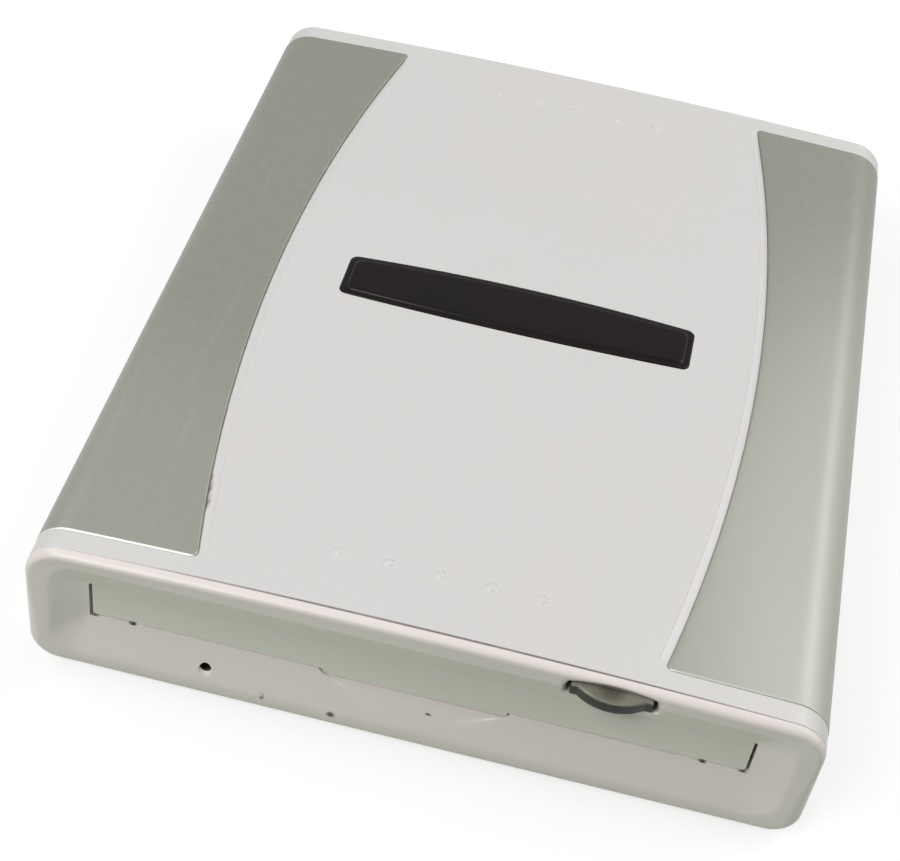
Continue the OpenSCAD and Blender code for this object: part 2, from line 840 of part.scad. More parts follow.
module eject_switch() color("#4a4a4c") difference() {
    translate([button_x - switch_size[0] / 2, switch_y, front_board_top]) cube(switch_size);
    block(
        [button_x - 1.4, button_x + 1.4],
        [switch_y - 1, switch_y + button_travel + 0.2],
        [front_board_top + 0.2, front_board_top + 1.4]
    );
}

module activity_led() color("#b8d89a")
    translate([led_x - led_size[0] / 2, front_board_y[0] + 0.2, front_board_top]) cube(led_size);

module front_board() color("#2f5d3a") difference() {
    block(
        [button_x - front_board_hw, button_x + front_board_hw],
        front_board_y,
        [front_board_z, front_board_top]
    );
    for (x = [-hang_x, hang_x])
        translate([button_x + x, hang_y, front_board_z - 1]) cylinder(r = small_r + fit, h = board_t + 2);
}

module front_board_screws() color("silver") for (x = [-hang_x, hang_x])
    translate([button_x + x, hang_y, front_board_z - small_head_h])
        screw(small_head_r, small_head_h, small_r, board_t + 1.6);

module drive_frame() color("#b9bcbf") difference() {
    union() {
        block([-frame_out, frame_out], [frame_y0, frame_y1], [base_z, base_top]);
        mirrored() block([frame_in, frame_out], [frame_y0, wing_y1 + 5], [base_z, frame_wall_top]);
        for (x = [-rail_x, rail_x], y = [well_y0, well_y1]) block(
            [x - rail_boss, x + rail_boss],
            [y - rail_boss, y + rail_boss],
            [rail_z - rail_r - 0.8, rail_z + rail_r + 0.8]
        );
        translate([gear_x, gear_y, base_z]) cylinder(r = 2.2, h = base_t);
    }
    translate([0, spindle_y, base_z - 1]) cylinder(r = rotor_r + 0.8, h = base_t + 2);
    difference() {
        block([-well_hw, well_hw], [well_y0, well_y1], [base_z - 2, base_top + 2]);
        for (x = [-rail_x, rail_x], y = [well_y0, well_y1]) block(
            [x - rail_boss, x + rail_boss],
            [y - rail_boss, y + rail_boss],
            [base_z - 3, base_top + 3]
        );
    }
    block([-tube_r - 0.3, tube_r + 0.3], [well_y1 - 1, optics_y[0] + 2.3], [base_z - 1, base_top + 1]);
    for (x = [-rail_x, rail_x], y = [well_y0, well_y1]) translate([x, y, rail_z]) rotate([90, 0, 0])
        cylinder(r = rail_r + 0.02, h = 2 * rail_boss + 0.1, center = true);
    for (x = [-mount_x, mount_x], y = mount_y)
        translate([x, y, base_z - 1]) cylinder(r = mount_screw_r + 0.05, h = base_t + 2);
    translate([gear_x, gear_y, base_z - 1]) cylinder(r = axle_r + 0.02, h = base_t + 2);
    for (y = guide_y) guide_slot(y, 0);
}

// slot across the whole width for one pair of guide pins, slanted by the run dy
module guide_slot(y, dy) {
    r = guide_r + fit;
    a = atan2(-drop, dy);
    l = norm([dy, drop]);
    translate([0, y, guide_z]) rotate([90, 0, 90]) linear_extrude(2 * body_w, center = true) {
        circle(r);
        translate([dy, -drop]) circle(r);
        rotate(a) translate([0, -r]) square([l, 2 * r]);
    }
}

module shock_mounts() color("#2c2c2e") for (x = [-mount_x, mount_x], y = mount_y)
    translate([x, y, floor_z]) difference() {
        union() {
            cylinder(r = mount_r, h = 1);
            cylinder(r = mount_r - 0.6, h = base_z - floor_z);
            translate([0, 0, base_z - floor_z - 1]) cylinder(r = mount_r, h = 1);
        }
        translate([0, 0, -1]) cylinder(r = mount_screw_r + fit, h = base_z);
    }

module frame_screws() color("silver") for (x = [-mount_x, mount_x], y = mount_y)
    translate([x, y, case_z + 0.1])
        screw(mount_head_r, mount_head_h, mount_screw_r, base_top - case_z - 0.2 - mount_head_h);

module main_board() color("#2f5d3a") difference() {
    block([-board_hw, board_hw], board_y, [board_z, board_z + board_t]);
    translate([0, spindle_y, board_z - 1]) cylinder(r = flange_r + 0.6, h = board_t + 2);
    block([-well_hw - 0.6, well_hw + 0.6], [well_y0 - 4, well_y1 + 3.2], [board_z - 1, board_z + 3]);
    for (x = [-mount_x, mount_x], y = mount_y)
        translate([x, y, board_z - 1]) cylinder(r = mount_r + 0.5, h = board_t + 2);
    for (x = [-board_post_x, board_post_x], y = board_post_y)
        translate([x, y, board_z - 1]) cylinder(r = small_r + fit, h = board_t + 2);
}

// chips as centre, width and depth
chips = [
    [[-24, -42], [14, 14]], [[4, -43], [20, 8]], [[24, -42], [12, 10]], [[-38, -12], [9, 12]],
    [[38, -10], [8, 14]], [[36, 10], [6, 8]], [[-36, 8], [7, 7]], [[4, 53], [16, 6]]
];

module board_chips() color("#1c1c1e") for (c = chips)
    translate([c[0][0] - c[1][0] / 2, c[0][1] - c[1][1] / 2, board_z + board_t])
        cube([c[1][0], c[1][1], chip_h]);

module board_screws() color("silver") for (x = [-board_post_x, board_post_x], y = board_post_y)
    translate([x, y, board_z + board_t + small_head_h]) mirror([0, 0, 1])
        screw(small_head_r, small_head_h, small_r, board_t + 1);

module usb_socket() color("#c4c6c8") translate([usb_x, rear_y - 0.6, board_z + board_t]) {
    s = usb_size;
    difference() {
        translate([-s[0] / 2, -s[1], 0]) cube(s);
        translate([-s[0] / 2 + 0.35, -s[1] + 1, 0.35]) cube([s[0] - 0.7, s[1], s[2] - 0.7]);
    }
    translate([-2.4, -s[1] + 0.9, s[2] / 2 - 0.4]) cube([4.8, s[1] - 2, 0.8]);
}

module dc_jack() color("#232325") translate([jack_x, rear_y - 0.6, board_z + board_t]) {
    s = jack_size;
    difference() {
        translate([-s[0] / 2, -s[1], 0]) cube(s);
        translate([0, 1, s[2] / 2]) rotate([90, 0, 0]) cylinder(r = jack_r - 0.4, h = s[1] - 0.6);
    }
    translate([0, -0.8, s[2] / 2]) rotate([90, 0, 0]) cylinder(r = 0.85, h = s[1] - 2);
}

module cartridge_holder() color("#c9ccd0") difference() {
    union() {
        block([-holder_out, holder_out], [holder_y0, holder_y1], [plate_z, plate_top]);
        mirrored() {
            block([holder_in, holder_out], [holder_y0, holder_y1], [holder_z, plate_top]);
            block([holder_in - rail_w, holder_out], [holder_y0, holder_y1], [holder_z, holder_z + holder_t]);
            block([holder_in - 8, holder_out], [bay_y1 + side_play, holder_y1], [holder_z, plate_top]);
        }
        block(
            [opener_p[0] - 5, opener_p[0] + 5],
            [holder_y1 - 0.1, opener_p[1] + 4],
            [plate_z, plate_top]
        );
    }
    block([-bias_hw, bias_hw], bias_y, [plate_z - 1, plate_top + 1]);
    translate([0, spindle_y, plate_z - 1]) cylinder(r = 12, h = holder_t + 2);
    mirrored() block([20, 38], [holder_y0 + 14, spindle_y + 8], [plate_z - 1, plate_top + 1]);
    opener_slot();
    translate([opener_p[0], opener_p[1], plate_z - 1]) cylinder(r = axle_r + 0.02, h = holder_t + 2);
    for (y = guide_y) translate([0, y, guide_z]) rotate([0, 90, 0])
        cylinder(r = guide_r + 0.02, h = 2 * body_w, center = true);
}

// arc in the top plate that the opener's pin sweeps
module opener_slot() {
    a0 = opener_a - 5;
    a1 = opener_a + opener_swing + 5;
    w = opener_pin_r + 0.5;
    translate([opener_p[0], opener_p[1], plate_z - 1]) rotate(a0) rotate_extrude(angle = a1 - a0)
        translate([opener_l - w, 0]) square([2 * w, holder_t + 2]);
}

module guide_pins() color("silver") mirrored() for (y = guide_y)
    translate([holder_in, y, guide_z]) rotate([0, 90, 0])
        cylinder(r = guide_r, h = frame_out - holder_in - 0.2);

module bias_yoke() color("#8d9094")
    block([-bias_hw - 1.6, bias_hw + 1.6], bias_y, [plate_top, plate_top + 0.8]);

module bias_coil() color("#b5713a") difference() {
    block([-bias_hw + 0.6, bias_hw - 0.6], [bias_y[0] + 1, bias_y[1] - 1], [plate_z - 0.1, plate_top]);
    block([-bias_hw + 4, bias_hw - 4], [bias_y[0] + 4.4, bias_y[1] - 4.4], [plate_z - 1, plate_top + 1]);
}

module shutter_opener() color("#3c3d40") translate([opener_p[0], opener_p[1], opener_z]) {
    difference() {
        union() {
            cylinder(r = opener_hw + 1, h = opener_t);
            rotate(opener_a) {
                translate([0, -opener_hw, 0]) cube([opener_l, 2 * opener_hw, opener_t]);
                translate([opener_l, 0, 0]) cylinder(r = opener_hw, h = opener_t);
            }
        }
        translate([0, 0, -1]) cylinder(r = axle_r + run, h = opener_t + 2);
    }
    rotate(opener_a) translate([opener_l, 0, bay_z + 1 - opener_z])
        cylinder(r = opener_pin_r, h = opener_z - bay_z - 0.9);
}

module opener_pivot() color("silver") translate([opener_p[0], opener_p[1], plate_z]) {
    cylinder(r = axle_r, h = opener_z + opener_t + fit - plate_z);
    translate([0, 0, opener_z + opener_t + fit - plate_z]) cylinder(r = 2, h = 0.4);
}

module eject_slider() color("#a9adb1") difference() {
    union() {
        block([-slider_out, slider_out], strip_y, [slider_z, slider_z + slider_t]);
        mirrored() {
            block([slider_in, slider_out], [wing_y0, wing_y1], [slider_z, wing_top]);
            block([slider_out - 4.5, slider_out], [wing_y0, wing_y1], [slider_z, slider_z + slider_t]);
        }
        block(
            [pinhole_x - 2, pinhole_x + 2],
            [strip_y[0], strip_y[0] + slider_t],
            [slider_z, slider_z + key_tab_h]
        );
        block([-slider_out, -slider_in], [wing_y1 - 1, gear_y + 8], [slider_z, slider_z + rack_t]);
        translate([0, 0, slider_z]) linear_extrude(rack_t) rack_profile();
    }
    for (y = guide_y) guide_slot(y, slider_travel);
}

// rack with a tooth centred on the gear at rest
module rack_profile() {
    p = PI * gear_m;
    add = 0.9 * gear_m;
    ded = 1.15 * gear_m;
    k = tan(pressure);
    hw = p / 4 - backlash / 2;
    translate([-slider_out, gear_y - 5]) square([rack_x - ded + slider_out, 13]);
    for (i = [-1:2]) translate([rack_x, gear_y + i * p]) polygon([
        [-ded - 0.1, -hw - ded * k],
        [add, -hw + add * k],
        [add, hw - add * k],
        [-ded - 0.1, hw + ded * k]
    ]);
}

function inv_a(a) = tan(a) * 180 / PI - a;

// involute gear with a tooth centred on the X axis
module gear_profile(n) {
    r = gear_m * n / 2;
    rb = r * cos(pressure);
    ra = r + 0.9 * gear_m;
    rr = r - 1.15 * gear_m;
    r0 = max(rb, rr);
    half = 90 / n - backlash / 2 / r * 180 / PI + inv_a(pressure);
    flank = [for (i = [0:4]) let (q = r0 + (ra - r0) * i / 4) [q, half - inv_a(acos(min(1, rb / q)))]];
    tooth = concat(
        [[rr, flank[0][1]]],
        flank
    );
    polygon([for (k = [0:n - 1]) each concat(
        [for (i = [0:5]) tooth[i][0] * [cos(k * 360 / n - tooth[i][1]), sin(k * 360 / n - tooth[i][1])]],
        [for (i = [5:-1:0]) tooth[i][0] * [cos(k * 360 / n + tooth[i][1]), sin(k * 360 / n + tooth[i][1])]]
    )]);
}

module reduction_gear() color("#e9e6da") translate([gear_x, gear_y, 0]) difference() {
    union() {
        translate([0, 0, slider_z + 0.2]) rotate(180 + 180 / rack_gear_n)
            linear_extrude(rack_t) gear_profile(rack_gear_n);
        translate([0, 0, base_top + fit]) cylinder(r = 2.6, h = large_z - base_top);
        translate([0, 0, large_z]) rotate(mesh_a) linear_extrude(gear_t) gear_profile(large_gear_n);
    }
    cylinder(r = axle_r + run, h = 2 * case_h);
    translate([0, 0, large_z + gear_t - 0.5]) difference() {
        cylinder(r = 6.6, h = 1);
        cylinder(r = 2.8, h = 1);
    }
}

module gear_axle() color("silver") translate([gear_x, gear_y, base_z]) {
    cylinder(r = axle_r, h = large_z + gear_t + fit - base_z);
    translate([0, 0, large_z + gear_t + fit - base_z]) cylinder(r = 1.7, h = 0.4);
}

module eject_motor() color("#b3b6ba") translate([motor_x, motor_y, base_top]) {
    difference() {
        cylinder(r = motor_r, h = motor_h - 0.6);
        translate([0, 0, 0.8]) cylinder(r = 1, h = motor_h);
    }
    translate([0, 0, motor_h - 0.6]) difference() {
        cylinder(r = 2.4, h = 0.5);
        translate([0, 0, -1]) cylinder(r = 1, h = 3);
    }
}

module motor_pinion() color("#c8a24a") translate([motor_x, motor_y, 0]) {
    translate([0, 0, large_z - 0.1]) rotate(180 + mesh_a + 180 / pinion_n)
        linear_extrude(gear_t + 0.2) gear_profile(pinion_n);
    translate([0, 0, base_top + 0.9]) cylinder(r = 0.95, h = large_z - base_top - 0.9);
}

module motor_flange() color("#a6a9ac") translate([0, spindle_y, base_z - flange_t]) difference() {
    cylinder(r = flange_r, h = flange_t);
    translate([0, 0, -1]) cylinder(r = bearing_r + 0.02, h = flange_t + 2);
}

module stator_core() color("#a8692f") translate([0, spindle_y, base_z]) difference() {
    union() {
        cylinder(r = bearing_r + 2, h = stator_t);
        for (i = [0:poles - 1]) rotate(i * 360 / poles) {
            translate([bearing_r + 1, -0.9, 0]) cube([rotor_r - bearing_r - 3.4, 1.8, stator_t]);
            translate([rotor_r - 3.2, -1.6, 0]) cube([0.9, 3.2, stator_t]);
        }
    }
    translate([0, 0, -1]) cylinder(r = bearing_r + 0.02, h = stator_t + 2);
}

module motor_bearing() color("#b08d4c") translate([0, spindle_y, base_z - 1.6]) difference() {
    cylinder(r = bearing_r, h = stator_t + 1.6);
    translate([0, 0, -1]) cylinder(r = shaft_r + 0.03, h = stator_t + 4);
}

module spindle_shaft() color("silver") translate([0, spindle_y, base_z - 1.5])
    cylinder(r = shaft_r, h = shaft_top - base_z + 1.5);

module spindle_rotor() color("#9da1a5") translate([0, spindle_y, rotor_z]) difference() {
    cylinder(r = rotor_r, h = rotor_top - rotor_z);
    translate([0, 0, -1]) cylinder(r = rotor_r - 1.2, h = rotor_top - rotor_z + 0.2);
    translate([0, 0, -1]) cylinder(r = shaft_r + 0.02, h = 9);
}

module turntable() color("#2b2b2d") translate([0, spindle_y, rotor_top]) difference() {
    cylinder(r = table_r, h = table_t);
    translate([0, 0, 0.3]) difference() {
        cylinder(r = table_r - 2.2, h = 2);
        translate([0, 0, -1]) cylinder(r = shaft_r + 1.2, h = 4);
    }
    translate([0, 0, -1]) cylinder(r = shaft_r + 0.02, h = 4);
}

module clamp_magnet() color("#55585c") translate([0, spindle_y, rotor_top + 0.3]) difference() {
    cylinder(r = table_r - 2.4, h = 0.6);
    translate([0, 0, -1]) cylinder(r = shaft_r + 1.4, h = 3);
}

module guide_rails() color("silver") for (x = [-rail_x, rail_x])
    translate([x, well_y1 + rail_boss - 0.4, rail_z]) rotate([90, 0, 0])
        cylinder(r = rail_r, h = well_y1 - well_y0 + 2 * rail_boss - 0.8);

module carriage() color("#8f9397") difference() {
    y = [lens_y - carriage_l / 2, lens_y + carriage_l / 2];
    z = [carriage_z, carriage_z + carriage_t];
    union() {
        block([-rail_x + 1, rail_x - 1], y, z);
        mirrored() {
            block([rail_x - sleeve_hw, rail_x + sleeve_hw], y, [rail_z - rail_r - 0.7, rail_z + rail_r + 0.7]);
            block(
                [rail_x + sleeve_hw - 0.1, coil_x - coil_size[0] / 2],
                [lens_y - 3, lens_y + 3],
                [rail_z - 0.9, rail_z + 0.9]
            );
        }
        block([-5, 5], [y[1] - 1.4, y[1]], [z[0], lens_z + lens_holder_t]);
    }
    for (x = [-rail_x, rail_x]) translate([x, 0, rail_z]) rotate([90, 0, 0])
        cylinder(r = rail_r + run, h = 2 * body_d, center = true);
    translate([0, lens_y, carriage_z - 1]) cylinder(r = 1.8, h = carriage_t + 2);
    translate([0, lens_y, carriage_z + 1.3]) rotate([-90, 0, 0]) cylinder(r = 1, h = carriage_l);
}

module drive_coils() color("#b5713a") mirrored() translate([coil_x, lens_y, rail_z]) difference() {
    cube(coil_size, center = true);
    cube([coil_size[0] - 2 * coil_wall, coil_size[1] + 2, coil_size[2] - 2 * 0.7], center = true);
}

module lens_holder() color("#3a3c40") difference() {
    block([-lens_holder_hw, lens_holder_hw], [lens_y - lens_holder_y[0], lens_y + lens_holder_y[1]],
        [lens_z, lens_z + lens_holder_t]);
    translate([0, lens_y, lens_z - 1]) cylinder(r = lens_r - 0.5, h = 4);
    translate([0, lens_y, lens_z + lens_holder_t - lens_seat]) cylinder(r = lens_r + 0.02, h = 4);
}

module objective_lens() color("#9fc4d8") translate([0, lens_y, lens_z + lens_holder_t - lens_seat]) {
    cylinder(r = lens_r, h = lens_seat + fit);
    translate([0, 0, lens_seat + fit]) intersection() {
        cylinder(r = lens_r - lens_rim, h = 1);
        translate([0, 0, lens_seat - lens_dome_r]) sphere(lens_dome_r);
    }
}

module lens_wires() color("#caa75a") for (x = [-wire_x, wire_x],
    z = [wire_inset, lens_holder_t - wire_inset])
    translate([x, lens_y + carriage_l / 2 - wire_end, lens_z + z]) rotate([90, 0, 0])
        cylinder(r = wire_r, h = carriage_l / 2 - wire_end - lens_holder_y[1]);

// steel loops whose inner bars run through the coils
module coil_yokes() color("#7d8185") mirrored() {
    z = [rail_z - core_size[1] / 2, rail_z + core_size[1] / 2];
    x = [coil_x - core_size[0] / 2, coil_x + core_size[0] / 2];
    magnet_x = coil_x + coil_size[0] / 2 + magnet_gap + magnet_t;
    outer = [magnet_x, magnet_x + yoke_t];
    block(x, [well_y0, well_y1], z);
    block(outer, [well_y0, well_y1], [z[0] - yoke_lip, z[1] + yoke_lip]);
    for (y = [well_y0, well_y1 - yoke_end]) block([x[0], outer[1]], [y, y + yoke_end], z);
}

module coil_magnets() color("#4d5055") mirrored() block(
    [coil_x + coil_size[0] / 2 + magnet_gap, coil_x + coil_size[0] / 2 + magnet_gap + magnet_t],
    [well_y0 + magnet_end, well_y1 - magnet_end],
    [rail_z - magnet_h / 2, rail_z + magnet_h / 2]
);

// ribbon under the carriage, turning back below itself to the main board
module head_flex() color("#c98a3a") translate([flex_w / 2, 0, 0]) rotate([90, 0, -90])
    mirror([1, 0, 0]) linear_extrude(flex_w) {
        top = carriage_z - 0.02;
        low = floor_z + flex_lift;
        r = (top - low) / 2;
        turn = well_y0 + flex_turn;
        difference() {
            translate([turn, low + r]) circle(r);
            translate([turn, low + r]) circle(r - flex_t);
            translate([turn, low - 1]) square(10);
        }
        translate([turn, top - flex_t]) square([lens_y - turn, flex_t]);
        translate([turn, low]) square([well_y1 + flex_tail - turn, flex_t]);
    }

module optics_block() color("#9a9ea3") {
    difference() {
        union() {
            block(optics_x, optics_y, [base_top, base_top + optics_h]);
            translate([0, optics_y[0] + 2, rail_z]) rotate([90, 0, 0])
                cylinder(r = tube_r, h = 2 + tube_l);
        }
        translate([0, optics_y[0] + 1, rail_z]) rotate([90, 0, 0])
            cylinder(r = tube_r - tube_wall, h = 2 + 2 * tube_l);
        block([optics_x[0] + optics_rim, optics_x[1] - optics_rim],
            [optics_y[0] + optics_lip, optics_y[1] - optics_lip],
            [base_top + optics_h - optics_dish, top_z]);
    }
}

module laser_diode() color("#c0a060")
    translate([optics_x[1], (optics_y[0] + optics_y[1]) / 2, base_top + diode_z]) rotate([0, 90, 0]) {
        cylinder(r = diode_r, h = diode_t);
        translate([0, 0, diode_t]) cylinder(r = diode_can_r, h = diode_can_l);
    }

module detector_board() color("#2f5d3a")
    block([-detector_hw, detector_hw], [optics_y[1], optics_y[1] + board_t], [base_top, base_top + optics_h]);

top_cover();
bottom_cover();
front_bezel();
rear_panel();
left_grip();
right_grip();
badge_plate();
rubber_feet();
cover_screws();
door_flap();
door_spring();
eject_button();
eject_switch();
switch_plunger();
front_board();
activity_led();
front_board_screws();
drive_frame();
shock_mounts();
frame_screws();
main_board();
board_chips();
board_screws();
usb_socket();
dc_jack();
cartridge_holder();
guide_pins();
bias_yoke();
bias_coil();
shutter_opener();
opener_pivot();
eject_slider();
reduction_gear();
gear_axle();
eject_motor();
motor_pinion();
motor_flange();
stator_core();
motor_bearing();
spindle_shaft();
spindle_rotor();
turntable();
clamp_magnet();
guide_rails();
carriage();
drive_coils();
lens_holder();
objective_lens();
lens_wires();
coil_yokes();
coil_magnets();
head_flex();
optics_block();
laser_diode();
detector_board();
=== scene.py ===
"""Looks of an external magneto-optical disc drive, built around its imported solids.

X is to the right, Y to the rear and Z up, and the feet stand on Z = 0. Shape functions work in
millimetres; meshes are in metres.
"""
import math
from types import SimpleNamespace

import bmesh
import bpy
import numpy as np
from mathutils import Matrix, Vector


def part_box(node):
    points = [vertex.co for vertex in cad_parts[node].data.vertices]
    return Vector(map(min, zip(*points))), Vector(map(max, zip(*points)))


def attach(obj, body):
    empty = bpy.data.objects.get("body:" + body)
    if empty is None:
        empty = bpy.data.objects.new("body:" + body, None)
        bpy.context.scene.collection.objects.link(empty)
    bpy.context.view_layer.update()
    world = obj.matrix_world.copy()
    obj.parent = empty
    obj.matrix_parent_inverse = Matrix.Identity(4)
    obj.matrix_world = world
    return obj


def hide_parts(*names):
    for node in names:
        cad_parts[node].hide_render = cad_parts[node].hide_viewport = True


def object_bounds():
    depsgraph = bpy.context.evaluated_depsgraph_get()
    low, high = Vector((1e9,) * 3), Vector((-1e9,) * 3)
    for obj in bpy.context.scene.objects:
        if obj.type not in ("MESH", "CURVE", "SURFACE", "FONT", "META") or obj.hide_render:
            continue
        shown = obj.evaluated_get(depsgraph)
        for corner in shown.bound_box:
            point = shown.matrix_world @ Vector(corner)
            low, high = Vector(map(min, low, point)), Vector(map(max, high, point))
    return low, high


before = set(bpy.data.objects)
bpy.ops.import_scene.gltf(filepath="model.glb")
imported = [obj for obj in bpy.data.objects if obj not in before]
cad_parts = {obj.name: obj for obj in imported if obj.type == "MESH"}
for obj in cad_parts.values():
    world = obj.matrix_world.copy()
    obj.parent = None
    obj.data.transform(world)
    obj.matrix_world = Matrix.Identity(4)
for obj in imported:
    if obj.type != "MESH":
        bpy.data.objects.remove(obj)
CAD_BOX = [list(corner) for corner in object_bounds()]

bl_info = {
    "name": "Magneto-Optical Drive Looks",
    "version": (1, 0, 0),
    "blender": (4, 5, 0),
    "location": "View3D > Sidebar > Drive",
    "description": "Smooth shells, trim and finishes of a small external disc drive",
    "category": "Object",
}

MM = 0.001

# quarter-round edge break of unit radius: its angles, the drop below one face and the set-back
# from the other
QUARTER = np.linspace(0, math.pi / 2, 6)
DROP = 1 - np.cos(QUARTER)
BACK = 1 - np.sin(QUARTER)

# clearances in millimetres: round a spigot, above and below the button, round the badge, round a
# grip, and round the sockets
SEAT_GAP = 0.1
SLOT_GAP = 0.15
BADGE_GAP = 0.06
GRIP_GAP = 0.03
SOCKET_GAP = 0.3

# half width and half depth of the part of the panel that carries the badge, in millimetres
ZONE_HALF_W = 30
ZONE_HALF_D = 9

# places of the key marks at the door's lower edge, to both sides of the middle, in millimetres
KEY_X = (40, 45.6)

# reach of a cutter past the surface that it opens, in millimetres
PAST = 1


def to_linear(code):
    """Linear colour of an sRGB hex code."""
    srgb = np.array([int(code[i:i + 2], 16) / 255 for i in (1, 3, 5)])
    linear = np.where(srgb <= 0.04045, srgb / 12.92, ((srgb + 0.055) / 1.055) ** 2.4)
    return tuple(float(c) for c in linear)


def length(name, mm, description):
    """Property for a length that is written in millimetres and kept in metres."""
    return bpy.props.FloatProperty(
        name=name, description=description, default=mm * MM, unit="LENGTH", precision=5
    )


def colour(name, code, description):
    """Property for a finish's colour, written as an sRGB hex code."""
    return bpy.props.FloatVectorProperty(
        name=name, description=description, default=to_linear(code), subtype="COLOR",
        size=3, min=0, max=1,
    )


class CaseSizes(bpy.types.PropertyGroup):
    """Sizes of the two covers, the rear panel and the feet."""
    half_w: length("Half width", CAD_BOX[1][0] / MM, "Middle of the case to its side")
    front_y: length("Front", CAD_BOX[0][1] / MM, "Front of the rim")
    rear_y: length("Rear", CAD_BOX[1][1] / MM, "Back of the rear panel")
    case_z: length("Underside", 0.8, "Height of the flat bottom above the table")
    case_h: length("Height", 23.6, "Height of the case without its feet")
    crown_r: length("Crown radius", 1200, "Radius of the slightly crowned top")
    shoulder_r: length("Shoulder radius", 5.5, "Radius of the long top edges")
    bottom_r: length("Bottom radius", 4.5, "Radius of the long bottom edges")
    wall: length("Wall", 2, "Wall of both covers")
    tray_h: length("Tray height", 6.2, "Height of the bottom cover's sides")
    rear_t: length("Rear panel", 1.8, "Thickness of the rear panel")
    rear_r: length("Rear edge", 0.6, "Radius of the rear panel's edge")
    spigot_l: length("Spigot length", 1.8, "Reach of the end pieces into the covers")
    spigot_t: length("Spigot wall", 1.2, "Wall of the rear panel's spigot")
    soft: length("Edge break", 0.17, "Small radius on the edges at the parting lines")
    fine: length("Fine edge break", 0.07, "Small radius on the edges round the trim")
    foot_r: length("Foot radius", 4.5, "Radius of a rubber foot")


class TrimSizes(bpy.types.PropertyGroup):
    """Sizes of the grips, the badge and the raised dots."""
    front_strip: length("Front strip", 3.15, "White strip in front of the grips")
    rear_strip: length("Rear strip", 3.6, "White strip behind the grips")
    grip_inset: length("Grip inset", 0.25, "Depth of the grip recess's rim below the white panel")
    grip_proud: length("Grip rise", 0.12, "Height of the grips above the white panel")
    grip_t: length("Grip thickness", 0.95, "Thickness of a grip")
    grip_lift: length("Grip lower edge", 0.6, "Grip's lower edge above the parting line")
    panel_half_w: length("Panel half width", 38.5, "Half width of the panel halfway along")
    panel_edge_r: length("Panel edge radius", 300, "Radius of the panel's bowed edges")
    grip_front_r: length("Grip front corner", 0.9, "Radius of a grip's front inner corner")
    grip_rear_r: length("Grip rear corner", 0.6, "Radius of a grip's rear inner corner")
    bevel_w: length("Bevel width", 1.3, "Width of the bevel beside each grip")
    bevel_h: length("Bevel depth", 0.3, "Depth of the bevel at the grip")
    groove_w: length("Groove width", 0.24, "Width of the fine line inside the bevel")
    groove_h: length("Groove depth", 0.09, "Depth of the fine line inside the bevel")
    badge_l: length("Badge length", 55.4, "Length of the badge plate")
    badge_w: length("Badge width", 10.9, "Width of the badge plate halfway along")
    badge_bow: length("Badge bow", 0.95, "Bow of the badge's long edges")
    badge_r: length("Badge corner", 1.2, "Radius of the badge's corners")
    badge_y: length("Badge place", 1.2, "Badge behind the middle of the case")
    badge_dome: length("Badge dome", 0.34, "Height of the domed badge above the panel")
    dots_front: length("Front dots", 6.6, "Front row of dots behind the front ends of the grips")
    dots_rear: length("Rear dots", 6.7, "Rear row of dots in front of the rear ends of the grips")
    dot_pitch: length("Dot pitch", 7.07, "Distance between the raised dots")
    dot_r: length("Dot radius", 0.88, "Radius of a raised dot")
    dot_h: length("Dot height", 0.38, "Height of a raised dot")


class BezelSizes(bpy.types.PropertyGroup):
    """Sizes of the front bezel and the eject button."""
    rim_d: length("Rim depth", 2.25, "Depth of the rim in front of the covers")
    recess_d: length("Funnel depth", 2.2, "Depth of the funnel in front of the door")
    rim_side: length("Side rim", 3.5, "Rim at the left and right")
    rim_top: length("Top rim", 3.2, "Rim at the top")
    rim_bottom: length("Bottom rim", 3.5, "Rim at the bottom")
    rim_r: length("Rim edge", 2.3, "Radius of the rim's outer front edge at the bottom")
    rim_top_r: length("Top rim edge", 0.95, "Radius of the rim's outer front edge at the top")
    lean: length("Lean", 0.75, "Set-back of the rim's face at the top")
    tuck: length("Tuck", 0.18, "Set-back of the top rim's lower edge behind its face")
    door_step: length("Door step", 0.12, "Depth of the door's face behind the funnel's edge")
    door_lap: length("Door lap", 0.3, "Reach of the frame over the door's upper edge")
    mouth_r: length("Mouth corner", 4.2, "Radius of the mouth's corners")
    open_hw: length("Opening half width", 46.2, "Middle to the side of the door's opening")
    open_z0: length("Opening bottom", 10.85, "Height of the opening's lower edge")
    open_z1: length("Opening top", 17.85, "Height of the opening's upper edge")
    tab_half_w: length("Tab half width", 13, "Half width of the tab in the door's lower edge")
    tab_h: length("Tab drop", 0.85, "Drop of the tab below the door's lower edge")
    pinhole_x: length("Pinhole place", -29.2, "Emergency pinhole left of the middle")
    pinhole_z: length("Pinhole height", 6.6, "Height of the emergency pinhole")
    pinhole_r: length("Pinhole radius", 0.78, "Radius of the emergency pinhole")
    button_x: length("Button place", 25.9, "Eject button right of the middle")
    button_w: length("Button width", 11.1, "Width of the eject button")
    button_z: length("Button height", 19.3, "Underside of the eject button")
    button_t: length("Button thickness", 2.1, "Thickness of the eject button")
    bulge_w: length("Button bulge", 9.2, "Width of the button's bulged front")
    button_side: length("Button side gap", 0.5, "Gap at each end of the button")
    brow_r: length("Brow radius", 20, "Radius of the arch over the button")
    brow_h: length("Brow rise", 0.45, "Height of the arch above the button's slot")
    brow_reach: length("Brow reach", 0.75, "Reach of the arch past each end of the button")


